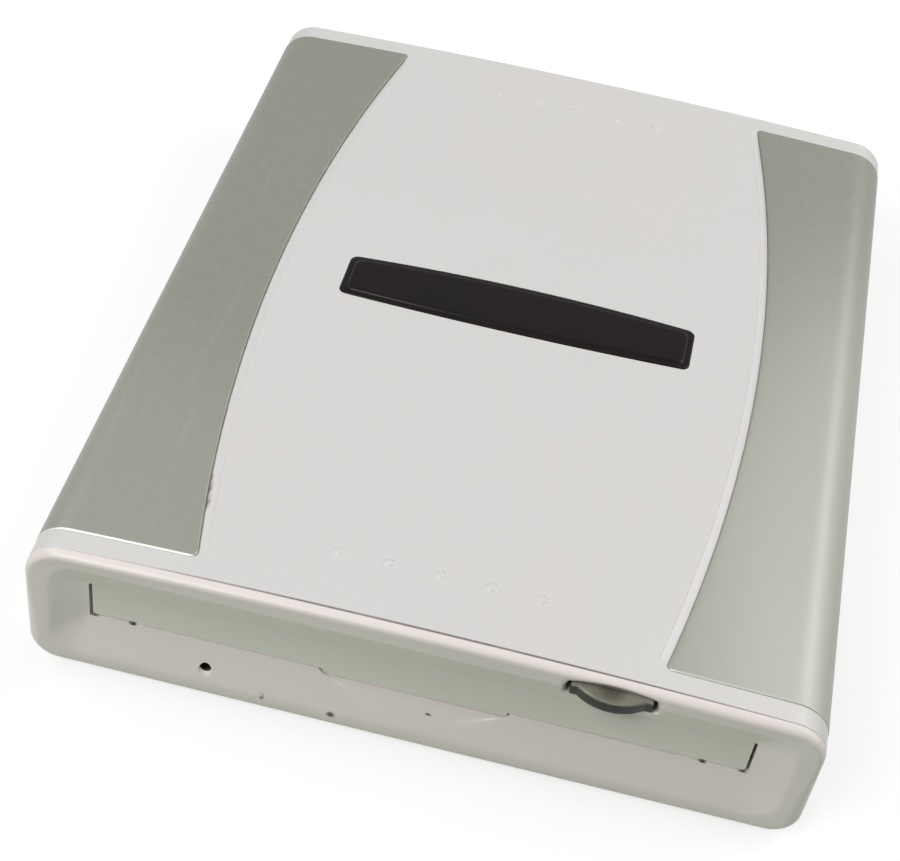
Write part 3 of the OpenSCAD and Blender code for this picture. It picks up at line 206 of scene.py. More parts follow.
class FinishColours(bpy.types.PropertyGroup):
    """Colours of the outside."""
    panel: colour("White panel", "#D6D5D3", "Moulded white cover")
    panel_warm: colour("White panel, warm", "#D6D3D0", "Warmer areas of the white cover")
    bezel: colour("Bezel", "#E8DFDB", "Moulded front frame")
    door: colour("Door", "#E2DED6", "Door flap")
    grip: colour("Grip", "#8E9085", "Grey side grips")
    # the pale grip colour serves the rubbed streaks and also the painted sheen on the grips; the edge
    # colour is partly wear, partly a painted highlight
    grip_worn_and_sheen: colour("Grip, worn", "#A6A89E", "Rubbed places on the grips")
    grip_edge_wear_and_highlight: colour("Grip, edge", "#E9EAE6", "Worn front edge of the grips")
    badge: colour("Badge", "#140C0A", "Domed badge plate")
    # the two button colours are one smoked plastic: the dark front, and the painted light of its
    # dished top
    button: colour("Button", "#262A1C", "Smoked eject button")
    button_lit_top: colour("Button, top", "#A8A396", "Dished top of the eject button")
    # dirt colour for seams and marks; darkened to three tenths, it is also the painted shade in the
    # bezel's slot ends, pinhole and key marks
    grime_and_shade: colour("Grime", "#54483E", "Dirt in seams")


def sizes(context):
    """All sizes in millimetres, with the values that follow from them."""
    s = SimpleNamespace()
    scene = context.scene
    for group in (scene.drive_case, scene.drive_trim, scene.drive_bezel):
        for key in type(group).__annotations__:
            setattr(s, key, getattr(group, key) / MM)
    s.top_z = s.case_z + s.case_h
    s.split_z = s.case_z + s.tray_h
    s.cover_y0 = s.front_y + s.rim_d
    s.cover_y1 = s.rear_y - s.rear_t
    s.shoulder_x = s.half_w - s.shoulder_r
    s.crown_c = s.top_z - s.crown_r
    reach = s.crown_r - s.shoulder_r
    s.shoulder_z = s.crown_c + math.sqrt(reach ** 2 - s.shoulder_x ** 2)
    s.crown_a = math.asin(s.shoulder_x / reach)
    s.crown_g = s.crown_r * math.sin(s.crown_a)
    s.side_g = s.crown_g + s.shoulder_r * (math.pi / 2 - s.crown_a)
    s.corner_g = s.side_g + s.shoulder_z - s.case_z - s.bottom_r
    s.flat_g = s.corner_g + s.bottom_r * math.pi / 2
    s.whole_g = s.flat_g + s.half_w - s.bottom_r
    s.split_g = s.side_g + s.shoulder_z - s.split_z
    s.grip_g = s.split_g - s.grip_lift
    s.grip_y0 = s.cover_y0 + s.front_strip
    s.grip_y1 = s.rear_y - s.rear_strip
    s.grip_depth = s.grip_inset + s.grip_t
    s.panel_cx = s.panel_half_w - s.panel_edge_r
    s.panel_cy = (s.grip_y0 + s.grip_y1) / 2
    s.mouth_hw = s.half_w - s.rim_side
    s.mouth_z0 = s.case_z + s.rim_bottom
    s.mouth_z1 = s.top_z - s.rim_top
    s.door_y = s.front_y + s.recess_d
    s.bezel_back = s.cover_y0 + s.spigot_l
    s.seat = s.wall + SEAT_GAP
    s.button_top_z = s.button_z + s.button_t
    s.slot_low = s.button_z - SLOT_GAP
    s.slot_top = s.button_top_z + SLOT_GAP
    s.slot_half = s.button_w / 2 + s.button_side
    s.brow_half = s.button_w / 2 + s.brow_reach
    return s


def case_skin(s, girth, inset):
    """X and Z of the case's cross section. Girth runs from the middle of the top along the crown
    arc, the shoulder arc, the straight side, the bottom arc and the flat bottom, negative on the
    left; inset moves a point inwards along its normal."""
    g = np.abs(girth)
    on_crown = g <= s.crown_g
    above = g <= s.corner_g
    turn = s.crown_a + np.clip((g - s.crown_g) / s.shoulder_r, 0, math.pi / 2 - s.crown_a)
    turn = turn + np.clip((g - s.corner_g) / s.bottom_r, 0, math.pi / 2)
    tilt = np.where(on_crown, np.arcsin(np.minimum(g, s.crown_g) / s.crown_r), turn)
    low_x = s.half_w - s.bottom_r - np.maximum(0, g - s.flat_g)
    centre_x = np.where(on_crown, 0, np.where(above, s.shoulder_x, low_x))
    side_z = s.shoulder_z - np.maximum(0, g - s.side_g)
    centre_z = np.where(above, side_z, s.case_z + s.bottom_r)
    centre_z = np.where(on_crown, s.crown_c, centre_z)
    radius = np.where(on_crown, s.crown_r, np.where(above, s.shoulder_r, s.bottom_r)) - inset
    return np.sign(girth) * (centre_x + radius * np.sin(tilt)), centre_z + radius * np.cos(tilt)


def mouth(s, girth, half_w, z0, z1, r):
    """X and Z of a rounded opening with one point for each point of the cross section: the
    straight runs and the four corner arcs are shared out in the same proportions."""
    g = np.abs(girth)
    marks = [0, s.crown_g, s.side_g, s.corner_g, s.flat_g, s.whole_g]
    top, upper, down, lower, back = [
        np.clip((g - a) / (b - a), 0, 1) for a, b in zip(marks, marks[1:])
    ]
    tilt = (upper + lower) * math.pi / 2
    x = (half_w - r) * (top - back) + r * np.sin(tilt)
    z = (z1 - r) * (1 - down) + (z0 + r) * down + r * np.cos(tilt)
    return np.sign(girth) * x, z


def ring_girth(s, lowest=None, count=60):
    """Girth values from the middle of the top to the middle of the bottom, with this many points
    on the top and on the bottom, or only those below the given girth."""
    half = np.concatenate([
        np.linspace(0, s.crown_g, count)[:-1],
        np.linspace(s.crown_g, s.side_g, 20)[:-1],
        np.linspace(s.side_g, s.corner_g, 10)[:-1],
        np.linspace(s.corner_g, s.flat_g, 16)[:-1],
        np.linspace(s.flat_g, s.whole_g, count),
    ])
    if lowest is not None:
        half = np.concatenate([[lowest], half[half > lowest + 0.05]])
    return half


def at_y(y, xz):
    """Points from X and Z arrays at depth y, a number or an array of their shape."""
    x, z = xz
    return np.stack([x, np.broadcast_to(y, x.shape), z], -1)


def patch(grid):
    """Vertices and quads of a grid of points (rows, columns, 3)."""
    rows, columns = grid.shape[:2]
    index = np.arange(rows * columns).reshape(rows, columns)
    quads = np.stack([index[:-1, :-1], index[1:, :-1], index[1:, 1:], index[:-1, 1:]], -1)
    return grid.reshape(-1, 3), quads.reshape(-1, 4).tolist()


def cap(loop):
    """One flat face inside a loop of points that ends where it starts."""
    return loop[:-1], [list(range(len(loop) - 1))]


def border(grid):
    """Closed loop round a grid of points."""
    return np.concatenate([grid[0], grid[1:, -1], grid[-1, -2::-1], grid[-2::-1, 0]])


def mirrored(patches):
    """The same patches on the other side of the middle plane."""
    return [(points * [-1, 1, 1], faces) for points, faces in patches]


def prism(outline, axis, low, high):
    """Straight solid over a closed outline of two coordinates, along the axis of that number."""
    loop = np.concatenate([outline, outline[:1]])
    ends = [np.insert(loop, axis, t, axis=1) for t in (low, high)]
    return [patch(np.stack(ends)), cap(ends[0]), cap(ends[1])]


def rectangle(a0, a1, b0, b1):
    """Outline of four corners."""
    return np.array([[a0, b0], [a1, b0], [a1, b1], [a0, b1]], float)


def turned(profile, centre, axis, count=48):
    """Solid of revolution: each profile point is a radius and a height along the axis of that
    number, turned once round the centre; a first and last radius of zero close the poles."""
    angle = np.linspace(0, 2 * math.pi, count + 1)
    r, t = np.array(profile, float).T
    flat = [r[:, None] * np.cos(angle), r[:, None] * np.sin(angle)]
    flat.insert(axis, np.broadcast_to(t[:, None], flat[0].shape))
    return [patch(np.stack(flat, -1) + np.array(centre, float))]


def solid(name, patches):
    """Object from patches of a closed surface: their points are stacked, doubles are merged and
    the faces are turned outwards."""
    starts = np.cumsum([0] + [len(points) for points, _ in patches])
    points = np.concatenate([points for points, _ in patches]) * MM
    faces = [[i + start for i in face] for (_, part), start in zip(patches, starts) for face in part]
    mesh = bpy.data.meshes.new(name)
    mesh.from_pydata(points.tolist(), [], faces)
    shell = bmesh.new()
    shell.from_mesh(mesh)
    bmesh.ops.remove_doubles(shell, verts=shell.verts, dist=2e-6)
    bmesh.ops.dissolve_degenerate(shell, dist=1e-6, edges=shell.edges)
    bmesh.ops.recalc_face_normals(shell, faces=shell.faces)
    open_edges = sum(not edge.is_manifold for edge in shell.edges)
    shell.to_mesh(mesh)
    shell.free()
    if open_edges:
        raise RuntimeError(f"{name} is open at {open_edges} edges")
    piece = bpy.data.objects.new(name, mesh)
    bpy.context.scene.collection.objects.link(piece)
    return piece


def cut(piece, cutters):
    """Takes each closed cutter out of a piece and keeps the result as the piece's mesh."""
    for patches in cutters:
        tool = solid("cutter", patches)
        modifier = piece.modifiers.new("cut", "BOOLEAN")
        modifier.operation = "DIFFERENCE"
        modifier.solver = "EXACT"
        modifier.object = tool
        graph = bpy.context.evaluated_depsgraph_get()
        mesh = bpy.data.meshes.new_from_object(piece.evaluated_get(graph))
        piece.modifiers.clear()
        old, piece.data = piece.data, mesh
        bpy.data.meshes.remove(old)
        used = tool.data
        bpy.data.objects.remove(tool)
        bpy.data.meshes.remove(used)
    piece.data.name = piece.name


def fit_out(piece, material, body, nodes, sharp=30):
    """Finishes a piece: smooth faces with edges sharper than the angle kept, its material, and
    the body and solids that it stands for."""
    mesh = piece.data
    mesh.polygons.foreach_set("use_smooth", np.ones(len(mesh.polygons), bool))
    mesh.set_sharp_from_angle(angle=math.radians(sharp))
    mesh.materials.clear()
    mesh.materials.append(material)
    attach(piece, body)
    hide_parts(*nodes)
    return piece


def add(tree, kind, links=None, **settings):
    """Adds a node: settings are its attributes, links its inputs by name or number, each a value
    or an output of another node."""
    node = tree.nodes.new(kind)
    for key, value in settings.items():
        setattr(node, key, value)
    for key, value in (links or {}).items():
        if isinstance(value, bpy.types.NodeSocket):
            tree.links.new(value, node.inputs[key])
        else:
            node.inputs[key].default_value = value
    return node


def per_mm(size):
    """Texture scale for a pattern that repeats at this size in millimetres."""
    return 1 / (size * MM)


def opaque(rgb):
    """Colour socket value of a linear colour."""
    return (rgb[0], rgb[1], rgb[2], 1)


def new_material(name, **values):
    """Empty material with a Principled surface, its plain socket values set directly."""
    material = bpy.data.materials.new(name)
    material.use_nodes = True
    tree = material.node_tree
    tree.nodes.clear()
    shader = add(tree, "ShaderNodeBsdfPrincipled", values)
    add(tree, "ShaderNodeOutputMaterial", {"Surface": shader.outputs["BSDF"]})
    place = add(tree, "ShaderNodeTexCoord").outputs["Object"]
    return material, tree, shader, place


def moulded(name, base, tint, roughness, grain, relief, cloud=45.0):
    """Injection-moulded plastic. The base drifts to the tint over clouds of the given size, the
    roughness varies a little with them, grain is the size of the tool's spark-eroded texture in
    millimetres and relief its height."""
    material, tree, shader, place = new_material(name, IOR=1.53)
    drift = add(tree, "ShaderNodeTexNoise", {
        "Vector": place, "Scale": per_mm(cloud), "Detail": 3.0, "Roughness": 0.55})
    soft = add(tree, "ShaderNodeMapRange", {
        "Value": drift.outputs["Fac"], "From Min": 0.38, "From Max": 0.66})
    body = add(tree, "ShaderNodeMix", {
        "Factor": soft.outputs["Result"], 6: opaque(base), 7: opaque(tint)}, data_type="RGBA")
    tree.links.new(body.outputs[2], shader.inputs["Base Color"])
    gloss = add(tree, "ShaderNodeMapRange", {
        "Value": drift.outputs["Fac"], "From Min": 0.3, "From Max": 0.7,
        "To Min": roughness - 0.04, "To Max": roughness + 0.05})
    tree.links.new(gloss.outputs["Result"], shader.inputs["Roughness"])
    texture = add(tree, "ShaderNodeTexNoise", {
        "Vector": place, "Scale": per_mm(grain), "Detail": 2.0})
    bump = add(tree, "ShaderNodeBump", {
        "Height": texture.outputs["Fac"], "Strength": 1.0, "Distance": relief * MM})
    tree.links.new(bump.outputs["Normal"], shader.inputs["Normal"])
    return SimpleNamespace(
        material=material, tree=tree, shader=shader, place=place, surface=body.outputs[2],
        grain=texture.outputs["Fac"], bump=bump,
    )


def soil(made, factor, rgb):
    """Lays a colour over a finish where the factor is high."""
    layer = add(made.tree, "ShaderNodeMix", {
        "Factor": factor, 6: made.surface, 7: opaque(rgb)}, data_type="RGBA")
    made.surface = layer.outputs[2]
    made.tree.links.new(made.surface, made.shader.inputs["Base Color"])


def spot(made, centre, reach, strength=1.0):
    """Factor of a soft patch: the strength at the centre, nothing beyond the reach along each
    axis, both in millimetres."""
    scale = [per_mm(r) for r in reach]
    near = add(made.tree, "ShaderNodeMapping", {
        "Vector": made.place, "Scale": scale,
        "Location": [-c * MM * k for c, k in zip(centre, scale)]})
    far = add(made.tree, "ShaderNodeVectorMath", {0: near.outputs["Vector"]}, operation="LENGTH")
    fade = add(made.tree, "ShaderNodeMapRange", {
        "Value": far.outputs["Value"], "From Min": 0.35, "From Max": 1.0,
        "To Min": strength, "To Max": 0.0}, interpolation_type="SMOOTHSTEP")
    return fade.outputs["Result"]


def broken(made, factor, size, low, high):
    """A factor broken up by noise of this size in millimetres, which lets it through from the
    low to the high value."""
    noise = add(made.tree, "ShaderNodeTexNoise", {
        "Vector": made.place, "Scale": per_mm(size), "Detail": 3.0})
    through = add(made.tree, "ShaderNodeMapRange", {
        "Value": noise.outputs["Fac"], "From Min": low, "From Max": high})
    both = add(made.tree, "ShaderNodeMath", {
        0: factor, 1: through.outputs["Result"]}, operation="MULTIPLY")
    return both.outputs["Value"]


def parting_grime(made, s, rgb):
    """Dirt in the parting line behind the front frame, thickest in the middle of the top and
    gone at the corners."""
    line = spot(made, (4, s.cover_y0, s.top_z), (62, 0.28, 9), 0.75)
    soil(made, broken(made, line, 14, 0.2, 0.5), rgb)


def dust(made, cell, share, rgb):
    """Small dark specks: one in a share of the cells of this size in millimetres."""
    cells = add(made.tree, "ShaderNodeTexVoronoi", {
        "Vector": made.place, "Scale": per_mm(cell), "Randomness": 1.0})
    dot = add(made.tree, "ShaderNodeMapRange", {
        "Value": cells.outputs["Distance"], "From Min": 0.03, "From Max": 0.07,
        "To Min": 0.8, "To Max": 0.0})
    pick = add(made.tree, "ShaderNodeSeparateColor", {"Color": cells.outputs["Color"]})
    few = add(made.tree, "ShaderNodeMath", {
        0: pick.outputs["Red"], 1: share}, operation="LESS_THAN")
    both = add(made.tree, "ShaderNodeMath", {
        0: dot.outputs["Result"], 1: few.outputs["Value"]}, operation="MULTIPLY")
    soil(made, both.outputs["Value"], rgb)


def bezel_plastic(colours, s):
    """Smooth ABS of the front frame: warm white, a soft gloss on its rounded rim, dirt in the
    parting line, a few small marks on the lower rim, and painted shade in the slot ends, pinhole
    and key marks."""
    made = moulded("bezel_abs", colours.bezel, [c * 0.97 for c in colours.bezel], 0.36, 0.5, 0.003)
    parting_grime(made, s, colours.grime_and_shade)
    marks = (
        ((-20.8, s.front_y, 4.3), (0.5, 1, 0.8)), ((-10.9, s.front_y, 4.0), (0.8, 1, 0.7)),
        ((2.4, s.door_y - 1, 7.6), (0.6, 1, 0.3)),
    )
    for centre, reach in marks:
        soil(made, broken(made, spot(made, centre, reach), 0.7, 0.3, 0.5), colours.grime_and_shade)
    # painted shade: dark patches in the ends of the button's slot, inside the pinhole and in the key
    # marks, where shade falls
    slot_ends = (s.button_x - s.slot_half, s.button_x + s.slot_half)
    painted_shade_spots = [((x, s.door_y + 1, 20.3), (0.75, 2.4, 1.7)) for x in slot_ends]
    painted_shade_spots.append(((s.pinhole_x, s.door_y + 1.2, s.pinhole_z - 0.5), (4, 2.4, 4)))
    for x, reach in ((40, (0.75, 0.8, 0.24)), (45.5, (0.9, 0.8, 0.2))):
        painted_shade_spots += [((side * x, s.door_y, s.open_z0 - 0.05), reach) for side in (-1, 1)]
    for centre, reach in painted_shade_spots:
        soil(made, spot(made, centre, reach), [0.3 * c for c in colours.grime_and_shade])
    return made.material


def panel_plastic(colours, s):
    """Fine-textured white ABS of the covers: satin, with dust specks, dirt in the parting line
    and rubbed into the left bevel."""
    made = moulded("cover_abs", colours.panel, colours.panel_warm, 0.37, 0.35, 0.006)
    dust(made, 3.4, 0.012, [0.4 * c for c in colours.panel])
    parting_grime(made, s, colours.grime_and_shade)
    bevel_marks = ((-34.7, -46.5), (-34.25, -49), (-33.75, -51.5))
    for x, y in bevel_marks:
        rubbed = spot(made, (x, y, s.top_z), (0.55, 2.6, 2), 0.8)
        soil(made, broken(made, rubbed, 1.6, 0.36, 0.6), [1.6 * c for c in colours.grime_and_shade])
    return made.material


def door_plastic(colours, s):
    """Plain ABS of the door flap: nearly the frame's colour, a little cooler, satin, with painted
    shade that darkens it towards its upper edge, under the frame's lintel."""
    made = moulded("door_abs", colours.door, [c * 0.96 for c in colours.door], 0.4, 0.4, 0.004)
    height = add(made.tree, "ShaderNodeSeparateXYZ", {"Vector": made.place})
    # painted shade: the colour darkens up the door towards the top of its opening, under the lintel
    upper = add(made.tree, "ShaderNodeMapRange", {
        "Value": height.outputs["Z"], "From Min": s.open_z0 * MM, "From Max": s.open_z1 * MM,
        "To Min": 0.0, "To Max": 0.9})
    soil(made, upper.outputs["Result"], [c * 0.82 for c in colours.door])
    return made.material


def grip_lacquer(colours, s):
    """Silver-grey lacquer on the moulded grips: darker or lighter with the angle to the light,
    over a fine leather grain, with faint rubbed streaks, painted sheen that makes the right grip
    and the left grip's front paler, and a front edge that is partly worn and partly a painted
    highlight."""
    made = moulded("grip_lacquer", colours.grip, [c * 0.96 for c in colours.grip], 0.42, 0.55, 0.008)
    made.shader.inputs["Metallic"].default_value = 0.45
    tree = made.tree
    leather = add(tree, "ShaderNodeTexVoronoi", {
        "Vector": made.place, "Scale": per_mm(0.9), "Randomness": 0.9}, feature="SMOOTH_F1")
    hollow = add(tree, "ShaderNodeMapRange", {
        "Value": leather.outputs["Distance"], "From Min": 0.1, "From Max": 0.6,
        "To Min": 0.0, "To Max": 0.3})
    soil(made, hollow.outputs["Result"], [c * 0.78 for c in colours.grip])
    turned_place = add(tree, "ShaderNodeMapping", {
        "Vector": made.place, "Rotation": (0, 0, 0.6), "Scale": (1, 0.06, 1)})
    streak = add(tree, "ShaderNodeTexNoise", {
        "Vector": turned_place.outputs["Vector"], "Scale": per_mm(1.6), "Detail": 2.0})
    rubbed = add(tree, "ShaderNodeMapRange", {
        "Value": streak.outputs["Fac"], "From Min": 0.6, "From Max": 0.75,
        "To Min": 0.0, "To Max": 0.3})
    soil(made, broken(made, rubbed.outputs["Result"], 28, 0.45, 0.65), colours.grip_worn_and_sheen)
    # painted sheen: the right grip, most of all towards its front, and the front of the left grip are
    # laid paler, standing in for the lamps' gloss
    painted_sheen = (
        ((60, -36, s.top_z), (42, 95, 60), 0.85), ((-48, s.front_y, s.top_z), (60, 62, 60), 0.3),
    )
    for centre, reach, strength in painted_sheen:
        soil(made, spot(made, centre, reach, strength), colours.grip_worn_and_sheen)
    # pale line along the grips' front edge: partly worn paint, partly a painted highlight of the
    # rounded edge
    edge = spot(made, (-50, s.grip_y0 + 0.16, s.top_z), (130, 0.26, 100), 0.75)
    soil(made, edge, colours.grip_edge_wear_and_highlight)
    relief = add(tree, "ShaderNodeBump", {
        "Height": leather.outputs["Distance"], "Strength": 0.6, "Distance": 0.02 * MM,
        "Normal": made.bump.outputs["Normal"]})
    tree.links.new(relief.outputs["Normal"], made.shader.inputs["Normal"])
    return made.material


def badge_resin(colours):
    """Domed resin over a brown-black print: deep colour under a glossy skin with hairlines."""
    made = moulded(
        "badge_resin", colours.badge, [c * 0.7 for c in colours.badge], 0.1, 9.0, 0.004, cloud=16
    )
    made.shader.inputs["Specular IOR Level"].default_value = 0.11
    thin = add(made.tree, "ShaderNodeMapping", {
        "Vector": made.place, "Rotation": (0, 0, 0.12), "Scale": (0.03, 1, 1)})
    line = add(made.tree, "ShaderNodeTexNoise", {
        "Vector": thin.outputs["Vector"], "Scale": per_mm(0.9), "Detail": 1.0})
    scratch = add(made.tree, "ShaderNodeMapRange", {
        "Value": line.outputs["Fac"], "From Min": 0.68, "From Max": 0.78,
        "To Min": 0.0, "To Max": 0.5})
    soil(made, broken(made, scratch.outputs["Result"], 12, 0.5, 0.6), [c * 3 for c in colours.badge])
    return made.material


def button_smoke(colours, s):
    """Smoked polycarbonate of the eject button, polished, with painted light: a lighter brown on
    its dished top and darker and greener down its front."""
    material, tree, shader, place = new_material("button_polycarbonate", **{
        "IOR": 1.58, "Transmission Weight": 0.15, "Specular IOR Level": 0.2})
    height = add(tree, "ShaderNodeSeparateXYZ", {"Vector": place})
    # painted light: the colour turns from the dark front colour to the lighter top colour near the
    # top of the button
    lit = add(tree, "ShaderNodeMapRange", {
        "Value": height.outputs["Z"], "From Min": (s.slot_top - 0.75) * MM,
        "From Max": (s.slot_top - 0.35) * MM})
    body = add(tree, "ShaderNodeMix", {
        "Factor": lit.outputs["Result"], 6: opaque(colours.button),
        7: opaque(colours.button_lit_top)}, data_type="RGBA")
    tree.links.new(body.outputs[2], shader.inputs["Base Color"])
    streak = add(tree, "ShaderNodeTexNoise", {
        "Vector": place, "Scale": per_mm(4.0), "Detail": 2.0})
    gloss = add(tree, "ShaderNodeMapRange", {
        "Value": streak.outputs["Fac"], "To Min": 0.08, "To Max": 0.2})
    tree.links.new(gloss.outputs["Result"], shader.inputs["Roughness"])
    return material


# refraction that a new surface has, which a metal keeps
DEFAULT_IOR = 1.5

# slot, material name, base, second colour, metallic, roughness, grain in mm, relief in mm
INNER_FINISHES = (
    ("foot_rubber", "moulded_rubber", "#2B2B2C", "#353535", 0, 0.8, 0.3, 0.02),
    ("damper_rubber", "butyl_rubber", "#232426", "#2C2D2F", 0, 0.75, 0.4, 0.02),
    ("screw_steel", "zinc_plated_steel", "#B9BBBC", "#9B9D9E", 1, 0.35, 0.6, 0.004),
    ("sheet_steel", "galvanised_sheet", "#AEB1B3", "#C3C6C7", 1, 0.42, 2.5, 0.003),
    ("spring_steel", "spring_wire", "#8E9092", "#A5A7A8", 1, 0.3, 0.2, 0.002),
    ("shaft_steel", "ground_steel", "#C2C4C6", "#AEB0B2", 1, 0.2, 0.3, 0.001),
    ("frame_alloy", "die_cast_alloy", "#9FA2A4", "#B0B3B5", 1, 0.5, 0.5, 0.012),
    ("board_green", "solder_mask", "#1F4B32", "#2A6140", 0, 0.3, 1.2, 0.006),
    ("chip_black", "moulded_epoxy", "#1C1D1E", "#262728", 0, 0.55, 0.2, 0.004),
    ("black_plastic", "filled_nylon", "#222324", "#2B2C2D", 0, 0.5, 0.3, 0.006),
    ("gear_plastic", "acetal", "#E4DFD2", "#D9D3C4", 0, 0.4, 0.5, 0.003),
    ("brass", "turned_brass", "#B79A5B", "#A3884E", 1, 0.3, 0.25, 0.002),
    ("copper", "enamelled_copper", "#A85D35", "#8E4C2A", 1, 0.35, 0.2, 0.01),
    ("magnet_grey", "sintered_ferrite", "#47494C", "#3B3D40", 0, 0.6, 0.3, 0.008),
    ("flex_amber", "polyimide_film", "#A9641F", "#B8752C", 0, 0.25, 3.0, 0.002),
    ("led_green", "diffused_epoxy", "#A6C98A", "#B6D59C", 0, 0.3, 0.4, 0.002),
)


def inner_finish(name, base, second, metallic, roughness, grain, relief):
    """Finish of an inner piece: two close colours in soft clouds of eight grains, with the
    grain's own fine relief and a roughness that follows the clouds."""
    made = moulded(
        name, to_linear(base), to_linear(second), roughness, grain, relief, cloud=8 * grain
    )
    made.shader.inputs["Metallic"].default_value = metallic
    if metallic:
        made.shader.inputs["IOR"].default_value = DEFAULT_IOR
    return made.material


def lens_glass():
    """Coated glass of the objective lens: clear with a faint blue-green cast."""
    material, tree, shader, place = new_material("coated_glass", **{
        "IOR": 1.6, "Transmission Weight": 0.9, "Base Color": opaque(to_linear("#CBE3E6"))})
    haze = add(tree, "ShaderNodeTexNoise", {"Vector": place, "Scale": per_mm(0.8)})
    gloss = add(tree, "ShaderNodeMapRange", {
        "Value": haze.outputs["Fac"], "To Min": 0.0, "To Max": 0.06})
    tree.links.new(gloss.outputs["Result"], shader.inputs["Roughness"])
    return material


def grip_outline(s, c):
    """X and Y of the inner edge of the right grip's plan, made smaller by c: a front corner arc,
    the bowed edge, and a rear corner arc."""
    big = s.panel_edge_r + c
    front_r, rear_r = s.grip_front_r, s.grip_rear_r
    fy = s.grip_y0 + c + front_r
    ry = s.grip_y1 - c - rear_r
    fx = s.panel_cx + math.sqrt((big + front_r) ** 2 - (fy - s.panel_cy) ** 2)
    rx = s.panel_cx + math.sqrt((big + rear_r) ** 2 - (ry - s.panel_cy) ** 2)
    fa = np.linspace(0, math.pi / 2 + math.asin((s.panel_cy - fy) / (big + front_r)), 10)
    ra = np.linspace(math.pi / 2 + math.asin((ry - s.panel_cy) / (big + rear_r)), 0, 7)
    y = grip_rows(s)
    x = s.panel_cx + np.sqrt(big ** 2 - (y - s.panel_cy) ** 2)
    return (
        np.concatenate([fx - front_r * np.sin(fa), x, rx - rear_r * np.sin(ra)]),
        np.concatenate([fy - front_r * np.cos(fa), y, ry + rear_r * np.cos(ra)]),
    )


def badge_zone(s):
    """Front and rear of the part of the panel that carries the badge."""
    return s.badge_y - ZONE_HALF_D, s.badge_y + ZONE_HALF_D


def grip_rows(s):
    """Depths of the rows between the grip's corner arcs, with rows at the badge zone's ends."""
    front_arc, rear_arc = 1.8, 1.4
    a, b = badge_zone(s)
    return np.concatenate([
        np.linspace(s.grip_y0 + front_arc, a, 34)[:-1],
        np.linspace(a, b, 9),
        np.linspace(b, s.grip_y1 - rear_arc, 34)[1:],
    ])


def grip_field(s, c, depth):
    """Grid over the right grip's place: rows follow its outline from front to rear, columns run
    from the inner edge over the shoulder to the lower edge, all at one depth below the skin."""
    x, y = grip_outline(s, c)
    share = np.linspace(0, 1, 44)
    girth = x[:, None] + (s.grip_g - c - x[:, None]) * share
    return at_y(y[:, None], case_skin(s, girth, depth)), girth


def badge_loop(s, c):
    """Bottom and top edge of the badge's outline, larger by c all round, each from left to
    right: a bowed edge between two corner arcs."""
    edge_r = (s.badge_l / 2) ** 2 / (2 * s.badge_bow) + s.badge_bow / 2
    edge_c = s.badge_w / 2 - edge_r
    x = s.badge_l / 2 + c - s.badge_r
    y = edge_c + math.sqrt((edge_r + c - s.badge_r) ** 2 - x ** 2)
    a = math.atan2(y - edge_c, x)
    corner = np.linspace(0, a, 8)
    bow = np.linspace(a, math.pi - a, 42)[1:-1]
    px = np.concatenate([
        x + s.badge_r * np.cos(corner), (edge_r + c) * np.cos(bow),
        -x - s.badge_r * np.cos(corner[::-1])])[::-1]
    py = np.concatenate([
        y + s.badge_r * np.sin(corner), edge_c + (edge_r + c) * np.sin(bow),
        y + s.badge_r * np.sin(corner[::-1])])[::-1]
    return np.stack([px, s.badge_y - py], -1), np.stack([px, s.badge_y + py], -1)


def badge_grid(s, c, rows, depth):
    """Ruled grid inside the badge's outline, its rows shared out between bottom and top edge."""
    low, high = badge_loop(s, c)
    share = np.linspace(0, 1, rows)[:, None, None]
    plan = low * (1 - share) + high * share
    return at_y(plan[..., 1], case_skin(s, plan[..., 0], depth))


def smooth_step(t):
    """Soft ramp from 0 to 1."""
    t = np.clip(t, 0, 1)
    return t * t * (3 - 2 * t)


